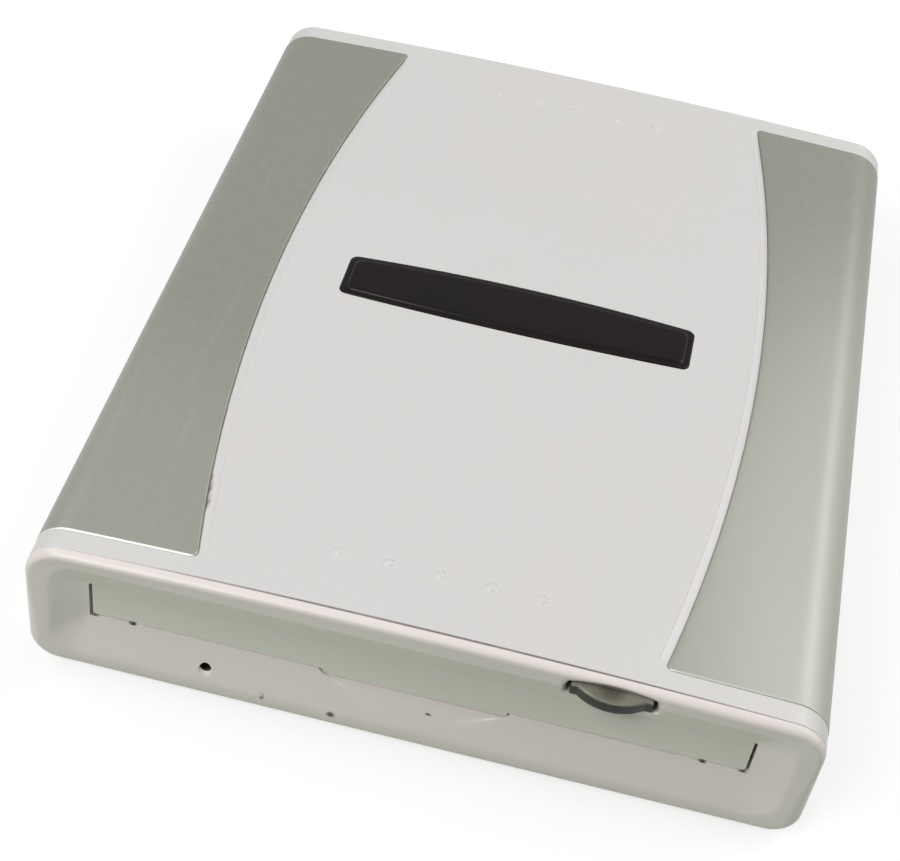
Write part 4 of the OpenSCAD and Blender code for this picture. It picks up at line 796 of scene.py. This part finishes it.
def panel_patches(s):
    """White panel between the grips and the wall and floor of the badge's recess. Columns are
    straight under the badge and follow the bowed edge outside it; the bevel and the fine line in
    front of it fade out at both ends. Returns the patches, the girth of the end rows and the depth of
    the bevelled edge."""
    x, y = grip_outline(s, -s.fine)
    bowed = s.panel_cx + np.sqrt((s.panel_edge_r - s.fine) ** 2 - (y - s.panel_cy) ** 2)
    run_out, step, recess = 2.5, 0.02, 0.5
    fade = smooth_step((y - y[0]) / run_out) * smooth_step((y[-1] - y) / run_out)
    low, _ = badge_loop(s, BADGE_GAP + s.fine)
    inner = low[:, 0] * ZONE_HALF_W / low[-1, 0]
    start = bowed - s.bevel_w
    before, after = start - s.groove_w / 2, start + s.groove_w / 2
    edge = [(ZONE_HALF_W + (before - ZONE_HALF_W) * t, 0) for t in (1 / 3, 2 / 3, 1)]
    edge += [(start, s.groove_h), (after, step)]
    edge += [(after + (x - after) * t, step + s.bevel_h * t) for t in (0.25, 0.5, 0.75, 1)]
    outer = np.stack([a + 0 * y for a, _ in edge], -1)
    drop = np.stack([b * fade for _, b in edge], -1)
    girth = np.concatenate([-outer[:, ::-1], np.tile(inner, (len(y), 1)), outer], 1)
    depth = np.concatenate([drop[:, ::-1], np.zeros((len(y), len(inner))), drop], 1)
    grid = at_y(y[:, None], case_skin(s, girth, depth))
    j0, j1 = len(edge), len(edge) + len(inner) - 1
    a, b = badge_zone(s)
    i0, i1 = np.abs(y - a).argmin(), np.abs(y - b).argmin()
    patches = [
        patch(grid[:i0 + 1]), patch(grid[i1:]),
        patch(grid[i0:i1 + 1, :j0 + 1]), patch(grid[i0:i1 + 1, j1:]),
    ]
    rows = i1 - i0 + 1
    window = border(grid[i0:i1 + 1, j0:j1 + 1])
    rim = border(badge_grid(s, BADGE_GAP + s.fine, rows, 0))
    rings = [window + (rim - window) * t for t in (0, 0.3, 0.6, 0.85, 1)]
    rings = [at_y(r[:, 1], case_skin(s, r[:, 0], 0)) for r in rings]
    for down, back in zip(s.fine * DROP[1:], s.fine * BACK[1:]):
        rings.append(border(badge_grid(s, BADGE_GAP + back, rows, down)))
    floor = badge_grid(s, BADGE_GAP, rows, recess)
    rings.append(border(floor))
    return patches + [patch(np.stack(rings)), patch(floor)], girth[[0, -1]], drop[:, -1]


def top_patches(s):
    """Outer skin, grip recesses and inner skin of the top cover as one closed shell. Every edge
    has a small quarter-round break."""
    soft, fine = s.soft, s.fine
    patches, middle, low = panel_patches(s)
    field, girth = grip_field(s, -fine, 0)
    y = grip_outline(s, -fine)[1]
    strip = np.concatenate([
        np.linspace(s.grip_g + fine, s.split_g - soft, 3)[:-1],
        s.split_g - soft + soft * np.sin(QUARTER)])
    strip_inset = np.concatenate([[0, 0], soft * DROP])
    across = [np.concatenate([-strip[::-1], -grip[-2:0:-1], row, grip[1:-1], strip])
              for row, grip in zip(middle, girth[[0, -1]])]
    inset = np.zeros(len(across[0]))
    inset[-len(strip):] = strip_inset
    inset[:len(strip)] = strip_inset[::-1]
    front = np.concatenate([s.cover_y0 + soft * DROP,
                            np.linspace(s.cover_y0 + soft, y[0], 6)[1:]])
    front_inset = np.concatenate([soft * BACK, np.zeros(5)])
    rear = np.concatenate([np.linspace(y[-1], s.cover_y1 - fine, 6)[:-1],
                           s.cover_y1 - fine + fine * np.sin(QUARTER)])
    rear_inset = np.concatenate([np.zeros(5), fine * DROP])
    ends = []
    for rows, row_inset, line in ((front, front_inset, across[0]), (rear, rear_inset, across[1])):
        sunk = np.maximum(inset, row_inset[:, None])
        ends.append(at_y(rows[:, None], case_skin(s, line + 0 * sunk, sunk)))
    side = at_y(y[:, None], case_skin(s, np.tile(strip, (len(y), 1)), strip_inset))
    # the bevel lowers the recess's inner edge, so the break there starts lower
    extra = np.zeros(field.shape[:2])
    extra[:, 0] = low
    rings = []
    for down, back in zip(fine * DROP, fine * BACK):
        rings.append(border(grip_field(s, -back, extra + down)[0]))
    floor = grip_field(s, 0, s.grip_depth)[0]
    rings.append(border(floor))
    right = [patch(side), patch(np.stack(rings)), patch(floor)]
    depths = np.concatenate([front[:-1], y, rear[1:]])
    share = np.clip((depths - y[0]) / (y[-1] - y[0]), 0, 1)[:, None]
    within = across[0] * (1 - share) + across[1] * share
    inside = at_y(depths[:, None], case_skin(s, within, s.wall))
    outer_edge = np.concatenate([ends[0][:-1, -1], side[:, -1], ends[1][1:, -1]])
    lip = patch(np.stack([outer_edge, inside[:, -1]]))
    patches += [patch(ends[0]), patch(ends[1])] + right + mirrored(right)
    patches += [patch(inside), lip] + mirrored([lip])
    patches += [patch(np.stack([ends[0][0], inside[0]])), patch(np.stack([ends[1][-1], inside[-1]]))]
    return patches


def dot_patches(s):
    """Two rows of raised dots: each is a cap of revolution whose height falls as one minus the
    square of the radius, with a flat base inside the cover."""
    base, sink = 0.5, 0.02
    profile = [(s.dot_r * t, s.dot_h * (1 - t * t)) for t in np.linspace(0, 1, 9)]
    profile += [(s.dot_r * 0.98, -base), (0, -base)]
    patches = []
    for y in (s.grip_y0 + s.dots_front, s.grip_y1 - s.dots_rear):
        for x in (np.arange(5) - 2) * s.dot_pitch:
            z = case_skin(s, np.array([x]), 0)[1][0] - sink
            patches += turned(profile, (x, y, z), 2, 32)
    return patches


def grip_patches(s):
    """Right grip: a shell over its plan with rounded edges, seated in the cover's recess."""
    r = 0.28
    rings = []
    for down, back in zip(r * DROP, r * BACK):
        rings.append(border(grip_field(s, GRIP_GAP + back, down - s.grip_proud)[0]))
    base = grip_field(s, GRIP_GAP, s.grip_depth - GRIP_GAP)[0]
    rings.append(border(base))
    top = grip_field(s, GRIP_GAP + r, -s.grip_proud)[0]
    return [patch(top), patch(np.stack(rings)), patch(base)]


def badge_patches(s):
    """Badge: a plate with a low sloping margin, then a soft step up to a top that follows the
    crown. The margin's profile is a list of insets and heights above the panel, as shares of the
    dome's height; the step between two insets is a soft ramp."""
    rows, dome, seat = 9, s.badge_dome, 0.45
    profile = [(0, -0.4), (0.02, -0.1), (0.07, 0.12), (0.16, 0.22), (0.5, 0.28)]
    profile += [(t, 0.34 + 0.66 * float(smooth_step((t - 0.85) / 0.3)))
                for t in np.linspace(0.85, 1.15, 9)]
    profile.append((1.7, 1))
    base = badge_grid(s, 0, rows, seat)
    rings = [border(base)]
    rings += [border(badge_grid(s, -inset, rows, -dome * share)) for inset, share in profile]
    top = badge_grid(s, -profile[-1][0], rows, -dome)
    return [patch(np.stack(rings)), patch(top), patch(base)]


def full_ring(s, count=60):
    """Girth values of a closed ring, with the middle of the bottom as first and last point."""
    half = ring_girth(s, count=count)
    return np.concatenate([-half[::-1], half[1:]])


def browed(s, points):
    """Rim pushed back over the eject button: a point's Y is at least that of a slanted arch at its
    height, with a soft corner and a run-out at both ends."""
    slope, corner, run_out = 1.21, 0.3, 0.8
    x, y, z = np.moveaxis(points, -1, 0)
    off = np.abs(x - s.button_x)
    chord = np.minimum(off, s.brow_half + 2)
    arch = s.slot_top + s.brow_h - s.brow_r + np.sqrt(s.brow_r ** 2 - chord ** 2)
    back = np.minimum(s.door_y - (z - arch) / slope, s.door_y)
    pushed = (y + back + np.sqrt((y - back) ** 2 + corner ** 2)) / 2
    near = smooth_step((s.brow_half + run_out / 2 - off) / run_out)
    return np.stack([x, y + np.where(z > s.slot_low, near, 0) * (pushed - y), z], -1)


def scooped(s, points):
    """Lower slope sunk in front of the door's tab: the drop is full at the door, falls to nothing
    down the slope, and its two ends turn from short steps into long soft runs."""
    height, beside, below, narrowing = 5.6, 0.55, 0.1, 0.45
    step, run = 0.8, 8
    x, y, z = np.moveaxis(points, -1, 0)
    down = np.clip((s.open_z0 - z) / height, 0, 1)
    half = (s.tab_half_w + beside) * (1 - narrowing * down)
    sides = smooth_step((half - np.abs(x)) / (step + run * down))
    drop = (s.tab_h + below) * (1 - down) ** 1.2 * sides
    return np.stack([x, y, np.where(z < s.open_z0 + 0.5, z - drop, z)], -1)


def funnel_ramp(share):
    """A share of the way from the lip to the door, with the lip's corner rounded off."""
    soft = 0.07
    return (share + np.sqrt(share ** 2 + soft ** 2)) / (1 + math.sqrt(1 + soft ** 2))


def face_y(s, z):
    """Depth of the rim's face at height z: it swings back softly from the bottom to the top."""
    return s.front_y + s.lean * smooth_step((z - s.case_z) / s.case_h)


def funnel_y(s, share, z):
    """Depth of the funnel at height z and a share of the way from the lip to the door: flat on the
    rim's face, which tucks under a little at the top, steepest inside the lip and flatter towards
    the door."""
    face = face_y(s, z) + s.tuck * smooth_step((z - s.open_z1) / (s.mouth_z1 - s.open_z1))
    return face + (s.door_y - s.door_step - face) * (1 - (1 - funnel_ramp(share)) ** 1.25)


def bezel_patches(s):
    """Front frame as a closed loft of rings: outer wall, rounded rim with its brow, the funnel
    from the rim's face to the door, the opening's wall, and the spigot behind. The rim's edge is
    tight at the top and grows rounder down the sides."""
    girth = full_ring(s, 170)
    soft, corner_r = s.soft, 0.5
    wall = [at_y(s.cover_y0 - down, case_skin(s, girth, back))
            for down, back in zip(soft * DROP, soft * BACK)]
    lower = smooth_step((np.abs(girth) - s.side_g) / (s.corner_g - s.side_g))
    radius = s.rim_top_r + (s.rim_r - s.rim_top_r) * lower
    depth = s.cover_y0 - soft - face_y(s, case_skin(s, girth, 0)[1])
    rim = []
    for t in np.linspace(0, math.pi / 2, 19)[1:]:
        x, z = case_skin(s, girth, radius * (1 - math.cos(t)))
        rim.append(at_y(face_y(s, z) + depth * (1 - math.sin(t)), (x, z)))
    lintel = s.open_z1 - s.door_lap
    funnel = []
    for t in np.concatenate([np.linspace(-0.1, 0.2, 19), np.linspace(0.2, 1, 26)[1:]]):
        x, z = mouth(
            s, girth,
            s.mouth_hw + (s.open_hw - s.mouth_hw) * t,
            s.mouth_z0 + (s.open_z0 - s.mouth_z0) * t,
            s.mouth_z1 + (lintel - s.mouth_z1) * t,
            s.mouth_r + (corner_r - s.mouth_r) * t)
        funnel.append(at_y(funnel_y(s, t, z), (x, z)))
    face = [rim[-1] + (funnel[0] - rim[-1]) * t for t in (0.33, 0.67)]
    funnel.append(at_y(s.bezel_back, mouth(s, girth, s.open_hw, s.open_z0, lintel, corner_r)))
    front = scooped(s, browed(s, np.stack(rim + face + funnel)))
    ends = [at_y(s.bezel_back, case_skin(s, girth, s.seat)),
            at_y(s.cover_y0, case_skin(s, girth, s.seat)), wall[0]]
    return [patch(np.concatenate([wall, front, ends]))]


def bezel_cutters(s):
    """Button slot, the countersunk pinhole with a room behind its thin wall, four key marks, and
    the room for the door's hinge."""
    x0, x1 = s.button_x - s.slot_half, s.button_x + s.slot_half
    back = s.bezel_back + PAST
    pivot_y, pivot_z = s.door_y + 0.9, s.open_z1 + 0.5
    pin_r, pin_half = 0.65, 48.1
    low, high = s.open_z1 - 0.5, pivot_z + 1.25
    clear = s.button_w / 2 + 2
    hole, sink_d, hole_d = s.pinhole_r, 0.15, 8
    cone = [(0, -2), (hole + 1.93, -2)]
    up = (s.pinhole_z - s.mouth_z0) / (s.open_z0 - s.mouth_z0)
    mark_y = funnel_y(s, up, s.pinhole_z)
    room_hw = 1.3
    room = rectangle(
        s.pinhole_x - room_hw, s.pinhole_x + room_hw, s.pinhole_z - 2, s.pinhole_z + 0.1)
    cutters = [
        prism(rectangle(x0, x1, s.slot_low, s.slot_top), 1, s.front_y - PAST, back),
        prism(rectangle(-s.open_hw, s.open_hw, low, s.open_z1 + 0.02), 1, s.door_y - 0.03, back),
        turned(cone + [(hole, sink_d), (hole, hole_d), (0, hole_d)],
               (s.pinhole_x, mark_y, s.pinhole_z), 1, 40),
        prism(room, 1, mark_y + 0.1, back),
        prism(rectangle(-s.open_hw, s.button_x - clear, low, high), 1, s.door_y + 0.05, back),
        prism(rectangle(s.button_x + clear, s.open_hw, low, high), 1, s.door_y + 0.05, back),
        prism(rectangle(-s.open_hw, s.open_hw, low, pivot_z + 0.5), 1, pivot_y + 0.1, back),
        turned([(0, -pin_half), (pin_r, -pin_half), (pin_r, pin_half), (0, pin_half)],
               (0, pivot_y, pivot_z), 0, 24),
    ]
    key_hw, key_low, key_d = 0.55, s.open_z0 - 0.15, 0.2
    for x in (-KEY_X[1], -KEY_X[0]) + KEY_X:
        key = rectangle(x - key_hw, x + key_hw, key_low, s.open_z0 + PAST)
        cutters.append(prism(key, 1, s.door_y - key_d, back))
    return cutters


def tray_patches(s):
    """Bottom cover: outer and inner skin below the parting height, closed along all its edges,
    each with a small quarter-round break."""
    soft = s.soft
    half = ring_girth(s, s.split_g + soft)
    edge = s.split_g + soft * DROP
    right = np.concatenate([edge[:-1], half])
    inset = np.concatenate([soft * BACK[:-1], np.zeros(len(half))])
    girth = np.concatenate([right, -right[-2::-1]])
    inset = np.concatenate([inset, inset[-2::-1]])
    y = np.concatenate([s.cover_y0 + soft * DROP,
                        np.linspace(s.cover_y0 + soft, s.cover_y1 - soft, 40)[1:-1],
                        s.cover_y1 - soft + soft * np.sin(QUARTER)])
    row = np.concatenate([soft * BACK, np.zeros(38), soft * DROP])
    sunk = np.maximum(inset, row[:, None])
    outer = at_y(y[:, None], case_skin(s, girth + 0 * sunk, sunk))
    inner = at_y(y[:, None], case_skin(s, girth + 0 * sunk, s.wall))
    return [patch(outer), patch(inner), patch(np.stack([border(outer), border(inner)]))]


def box_mm(name):
    """Low and high corner of a solid's box, in millimetres."""
    return [np.array(corner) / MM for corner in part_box(name)]


def screw_holes(s, xs, ys, head_r, head_h):
    """Cutters for screws from below, one at each pair of an X and a Y: a counterbore for the head
    and a hole for the thread."""
    hole_r, hole_h = 1.1, 8
    profile = [(0, -PAST), (head_r, -PAST), (head_r, head_h), (hole_r, head_h), (hole_r, hole_h),
               (0, hole_h)]
    return [turned(profile, (x, y, s.case_z), 2) for x in xs for y in ys]


def tray_cutters(s):
    """Counterbores of the cover and frame screws, and the seats of the feet."""
    x, y = s.half_w - s.wall - 2.7, s.rear_y - 8.5
    low, high = box_mm("frame_screws")
    axis = 2.2
    cutters = screw_holes(s, (-x, x), (-y, y), 2, 1.4)
    cutters += screw_holes(
        s, (low[0] + axis, high[0] - axis), (low[1] + axis, high[1] - axis), 2.3, 1)
    seat_r, seat_d = s.foot_r + 0.05, 0.6
    seat = [(0, -PAST), (seat_r, -PAST), (seat_r, seat_d), (0, seat_d)]
    cutters += [turned(seat, (x, y, s.case_z), 2) for x, y in foot_places(s)]
    return cutters


def foot_places(s):
    """Centres of the four feet."""
    x, y = s.half_w - 14, s.rear_y - 10
    return [(px, py) for px in (-x, x) for py in (-y, y)]


def foot_patches(s):
    """Four feet: low discs of revolution with a rounded lower edge and a shallow dish."""
    r, top, edge, dish = s.foot_r, s.case_z + 0.58, 0.4, 0.12
    rounded = [(r - back, down) for down, back in zip(edge * DROP, edge * BACK)]
    profile = [(0, dish), (r * 0.55, dish), (r * 0.66, 0)] + rounded + [(r, top), (0, top)]
    patches = []
    for x, y in foot_places(s):
        patches += turned(profile, (x, y, 0), 2, 64)
    return patches


def rear_patches(s):
    """Rear panel: a flat back with a rounded edge, and a spigot that reaches into the covers."""
    girth = full_ring(s)
    fine = s.fine
    inner = s.seat + s.spigot_t
    rings = []
    for t in np.linspace(0, math.pi / 2, 10):
        down, back = s.rear_r * (1 - math.cos(t)), s.rear_r * (1 - math.sin(t))
        rings.append(at_y(s.rear_y - down, case_skin(s, girth, back)))
    for down, back in zip(fine * DROP, fine * BACK):
        rings.append(at_y(s.cover_y1 + back, case_skin(s, girth, down)))
    rings += [at_y(y, case_skin(s, girth, d)) for y, d in (
        (s.cover_y1, s.seat), (s.cover_y1 - s.spigot_l, s.seat),
        (s.cover_y1 - s.spigot_l, inner), (s.cover_y1, inner))]
    return [patch(np.stack(rings)), cap(rings[0]), cap(rings[-1])]


def rear_cutters(s):
    """Openings for the two sockets, a little larger than the solids in them."""
    cutters = []
    for name in ("usb_socket", "dc_jack"):
        low, high = box_mm(name)
        low, high = low - SOCKET_GAP, high + SOCKET_GAP
        cutters.append(prism(
            rectangle(low[0], high[0], low[2], high[2]), 1,
            s.cover_y1 - s.spigot_l - PAST, s.rear_y + PAST))
    return cutters


def dished(s, plan, z):
    """Points over a plan at height z, sunk where a ball dips a little into the button's top."""
    ball_r, dip, behind = 12, 0.4, 2.1
    off = ((plan - [s.button_x, s.front_y + behind]) ** 2).sum(1)
    ball = s.button_top_z + ball_r - dip - np.sqrt(ball_r ** 2 - np.minimum(off, 30))
    return np.insert(plan, 2, np.minimum(z, ball), axis=1)


def button_patches(s):
    """Eject button: a plan of two short shoulders and a bulged front arc, carried through a
    rounded edge to a dished top, with its stem behind."""
    half, bulge = s.button_w / 2, s.bulge_w / 2
    shoulder, back = s.door_y - 0.62, s.front_y + 5.5
    rise = shoulder - s.front_y
    r = (bulge ** 2 + rise ** 2) / (2 * rise)
    sweep = np.linspace(-math.asin(bulge / r), math.asin(bulge / r), 61)
    arc = np.stack([r * np.sin(sweep), s.front_y + r * (1 - np.cos(sweep))], -1)
    corners = [[half, shoulder], [half, back], [-half, back], [-half, shoulder]]
    runs = [np.linspace(p, q, 13)[1:] for p, q in zip([arc[-1]] + corners, corners + [arc[0]])]
    plan = np.concatenate([arc] + runs) + [s.button_x, 0]
    centre = np.array([s.button_x, s.front_y + 3])
    spoke = plan - centre
    far = np.linalg.norm(spoke, axis=1, keepdims=True)
    top, soft, stem_hw = s.button_top_z, 0.22, 2
    rings = [dished(s, centre + spoke * (1 - soft / far) * t, top) for t in np.linspace(0, 1, 19)]
    for down, inwards in zip(soft * DROP[1:], soft * BACK[1:]):
        rings.append(dished(s, plan - spoke / far * inwards, top - down))
    rings.append(np.insert(plan, 2, s.button_z, axis=1))
    stem_end = box_mm("eject_button")[1][1]
    stem = prism(
        rectangle(s.button_x - stem_hw, s.button_x + stem_hw, back - 0.4, stem_end), 2,
        top - 0.95, top + 0.05)
    return [patch(np.stack(rings)), cap(rings[-1])] + stem


class DRIVE_OT_top_cover(bpy.types.Operator):
    """Make the white top cover with its grip recesses, bevels and raised dots"""
    bl_idname = "drive.top_cover"
    bl_label = "Top Cover"

    def execute(self, context):
        s = sizes(context)
        piece = solid("top_cover_shell", top_patches(s) + dot_patches(s))
        material = panel_plastic(context.scene.drive_colours, s)
        fit_out(piece, material, "case", ["top_cover"], sharp=13)
        return {"FINISHED"}


class DRIVE_OT_lower_case(bpy.types.Operator):
    """Make the bottom cover, the rear panel and the feet"""
    bl_idname = "drive.lower_case"
    bl_label = "Lower Case"

    def execute(self, context):
        s = sizes(context)
        material = bpy.data.materials["cover_abs"]
        tray = solid("bottom_cover_shell", tray_patches(s))
        cut(tray, tray_cutters(s))
        fit_out(tray, material, "case", ["bottom_cover"])
        rear = solid("rear_panel_shell", rear_patches(s))
        cut(rear, rear_cutters(s))
        fit_out(rear, material, "case", ["rear_panel"])
        feet = solid("foot_pads", foot_patches(s))
        fit_out(feet, bpy.data.materials["moulded_rubber"], "case", ["rubber_feet"])
        return {"FINISHED"}


class DRIVE_OT_bezel(bpy.types.Operator):
    """Make the front frame with its funnel, button slot and pinhole"""
    bl_idname = "drive.bezel"
    bl_label = "Front Bezel"

    def execute(self, context):
        s = sizes(context)
        piece = solid("front_bezel_frame", bezel_patches(s))
        cut(piece, bezel_cutters(s))
        material = bezel_plastic(context.scene.drive_colours, s)
        fit_out(piece, material, "case", ["front_bezel"])
        return {"FINISHED"}


class DRIVE_OT_grips(bpy.types.Operator):
    """Make the two side grips"""
    bl_idname = "drive.grips"
    bl_label = "Side Grips"

    def execute(self, context):
        s = sizes(context)
        material = grip_lacquer(context.scene.drive_colours, s)
        right = grip_patches(s)
        for name, patches, node in (
            ("grip_right", right, "right_grip"), ("grip_left", mirrored(right), "left_grip"),
        ):
            fit_out(solid(name, patches), material, "case", [node])
        return {"FINISHED"}


class DRIVE_OT_badge(bpy.types.Operator):
    """Make the bare domed badge plate"""
    bl_idname = "drive.badge"
    bl_label = "Badge Plate"

    def execute(self, context):
        piece = solid("badge_dome", badge_patches(sizes(context)))
        material = badge_resin(context.scene.drive_colours)
        fit_out(piece, material, "case", ["badge_plate"], sharp=50)
        return {"FINISHED"}


class DRIVE_OT_button(bpy.types.Operator):
    """Make the dished eject button"""
    bl_idname = "drive.button"
    bl_label = "Eject Button"

    def execute(self, context):
        s = sizes(context)
        piece = solid("eject_key", button_patches(s))
        material = button_smoke(context.scene.drive_colours, s)
        fit_out(piece, material, "button", ["eject_button"], sharp=40)
        return {"FINISHED"}


class DRIVE_OT_inner_finishes(bpy.types.Operator):
    """Give the door and every inner piece its finish"""
    bl_idname = "drive.inner_finishes"
    bl_label = "Door and Inner Finishes"

    def execute(self, context):
        made = {slot: inner_finish(*rest) for slot, *rest in INNER_FINISHES}
        made["lens_glass"] = lens_glass()
        made["door_plastic"] = door_plastic(context.scene.drive_colours, sizes(context))
        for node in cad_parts.values():
            for place in node.material_slots:
                place.material = made.get(place.material.name, place.material)
        return {"FINISHED"}


class DRIVE_OT_stage(bpy.types.Operator):
    """Set up the pale floor, the soft light and the camera"""
    bl_idname = "drive.stage"
    bl_label = "Stage"

    def execute(self, context):
        scene = context.scene
        scene.view_settings.view_transform = "Standard"
        self.floor(scene)
        self.sky(scene)
        self.lamps(scene)
        self.camera(scene)
        return {"FINISHED"}

    def floor(self, scene):
        """Pale paper under the drive. Its light on the object is a little green; the camera sees
        a plain grey that glows nearly to white and keeps the shadow."""
        bounce, seen = (0.33, 0.42, 0.3, 1), (0.36, 0.36, 0.36, 1)
        edge = np.linspace(-1.5, 1.5, 7)
        grid = np.stack(np.meshgrid(edge, edge, [0.0]), -1).reshape(7, 7, 3)
        points, faces = patch(grid)
        mesh = bpy.data.meshes.new("floor")
        mesh.from_pydata(points.tolist(), [], faces)
        floor = bpy.data.objects.new("floor", mesh)
        scene.collection.objects.link(floor)
        material, tree, shader, _ = new_material("floor_paper", **{
            "Roughness": 0.9, "Specular IOR Level": 0.0, "Emission Color": (1, 1, 1, 1)})
        shown = self.shown(tree)
        tone = add(tree, "ShaderNodeMix", {
            "Factor": shown, 6: bounce, 7: seen}, data_type="RGBA")
        glow = add(tree, "ShaderNodeMath", {0: shown, 1: 0.7}, operation="MULTIPLY")
        tree.links.new(tone.outputs[2], shader.inputs["Base Color"])
        tree.links.new(glow.outputs["Value"], shader.inputs["Emission Strength"])
        mesh.materials.append(material)

    def sky(self, scene):
        """White behind the drive, and a low even light on it."""
        world = bpy.data.worlds.new("studio")
        world.use_nodes = True
        scene.world = world
        tree = world.node_tree
        tree.nodes.clear()
        level = add(tree, "ShaderNodeMapRange", {
            "Value": self.shown(tree), "To Min": 0.06, "To Max": 1.0})
        sky = add(tree, "ShaderNodeBackground", {
            "Color": (1, 1, 1, 1), "Strength": level.outputs["Result"]})
        add(tree, "ShaderNodeOutputWorld", {"Surface": sky.outputs["Background"]})

    def lamps(self, scene):
        """Five soft white lamps that face the drive; places and sizes are in metres."""
        for name, place, size, watts in (
            ("front", Vector((-0.34, -0.44, 0.6)), 0.45, 4.05),
            ("window", Vector((0.38, 0.3, 0.54)), 0.35, 1.7),
            ("side", Vector((0.7, 0.15, 0.35)), 0.4, 1.6),
            ("left", Vector((-0.5, 0.1, 0.5)), 0.3, 0.8),
            ("overhead", Vector((0.0, 0.03, 0.7)), 0.16, 0.3),
        ):
            lamp = bpy.data.lights.new(name, "AREA")
            lamp.size = size
            lamp.energy = watts
            light = bpy.data.objects.new(name, lamp)
            scene.collection.objects.link(light)
            light.location = place
            light.rotation_euler = (-place).to_track_quat("-Z", "Y").to_euler()

    def shown(self, tree):
        """1 for what the camera sees, straight or in gloss and glass, and 0 for the light that
        the object gets."""
        path = add(tree, "ShaderNodeLightPath")
        mirrored_too = add(tree, "ShaderNodeMath", {
            0: path.outputs["Is Camera Ray"], 1: path.outputs["Is Glossy Ray"]}, operation="MAXIMUM")
        every = add(tree, "ShaderNodeMath", {
            0: mirrored_too.outputs["Value"], 1: path.outputs["Is Transmission Ray"]},
            operation="MAXIMUM")
        return every.outputs["Value"]

    def camera(self, scene):
        """Camera at the viewing angle: azimuth, elevation and roll about its axis are in degrees,
        its place in millimetres, and its focal length in pixels of the image."""
        azimuth, elevation, roll = (math.radians(a) for a in (6.12, 45.04, -8.65))
        place = np.array([16.06, -219.94, 217.85])
        focal, image_w, sensor_w = 1882.83, 900, 36
        ahead = np.array([
            -math.sin(azimuth) * math.cos(elevation), math.cos(azimuth) * math.cos(elevation),
            -math.sin(elevation)])
        right = np.cross(ahead, [0, 0, 1])
        right /= np.linalg.norm(right)
        down = np.cross(ahead, right)
        across = math.cos(roll) * right + math.sin(roll) * down
        below = math.cos(roll) * down - math.sin(roll) * right
        lens = bpy.data.cameras.new("camera")
        lens.sensor_width = sensor_w
        lens.lens = focal * sensor_w / image_w
        lens.clip_start = 0.01
        eye = bpy.data.objects.new("camera", lens)
        matrix = np.eye(4)
        matrix[:3, :3] = np.stack([across, -below, -ahead], 1)
        matrix[:3, 3] = place * MM
        eye.matrix_world = Matrix(matrix.tolist())
        scene.collection.objects.link(eye)
        scene.camera = eye


PIECES = (
    DRIVE_OT_stage, DRIVE_OT_inner_finishes, DRIVE_OT_top_cover, DRIVE_OT_lower_case,
    DRIVE_OT_bezel, DRIVE_OT_grips, DRIVE_OT_badge, DRIVE_OT_button,
)


class DRIVE_PT_looks(bpy.types.Panel):
    """Lists the pieces of the drive and the colours of its finishes"""
    bl_label = "Disc Drive"
    bl_idname = "DRIVE_PT_looks"
    bl_space_type = "VIEW_3D"
    bl_region_type = "UI"
    bl_category = "Drive"

    def draw(self, context):
        layout = self.layout
        for piece in PIECES:
            layout.operator(piece.bl_idname)
        for name, _ in GROUPS:
            box = layout.box()
            values = getattr(context.scene, name)
            for key in type(values).__annotations__:
                box.prop(values, key)


GROUPS = (
    ("drive_case", CaseSizes), ("drive_trim", TrimSizes), ("drive_bezel", BezelSizes),
    ("drive_colours", FinishColours),
)


def register():
    for name, group in GROUPS:
        bpy.utils.register_class(group)
        setattr(bpy.types.Scene, name, bpy.props.PointerProperty(type=group))
    for item in PIECES + (DRIVE_PT_looks,):
        bpy.utils.register_class(item)


def unregister():
    for item in reversed(PIECES + (DRIVE_PT_looks,)):
        bpy.utils.unregister_class(item)
    for name, group in reversed(GROUPS):
        delattr(bpy.types.Scene, name)
        bpy.utils.unregister_class(group)


def main():
    """Makes every piece in order."""
    register()
    for piece in PIECES:
        group, name = piece.bl_idname.split(".")
        getattr(getattr(bpy.ops, group), name)()


if __name__ == "__main__":
    main()
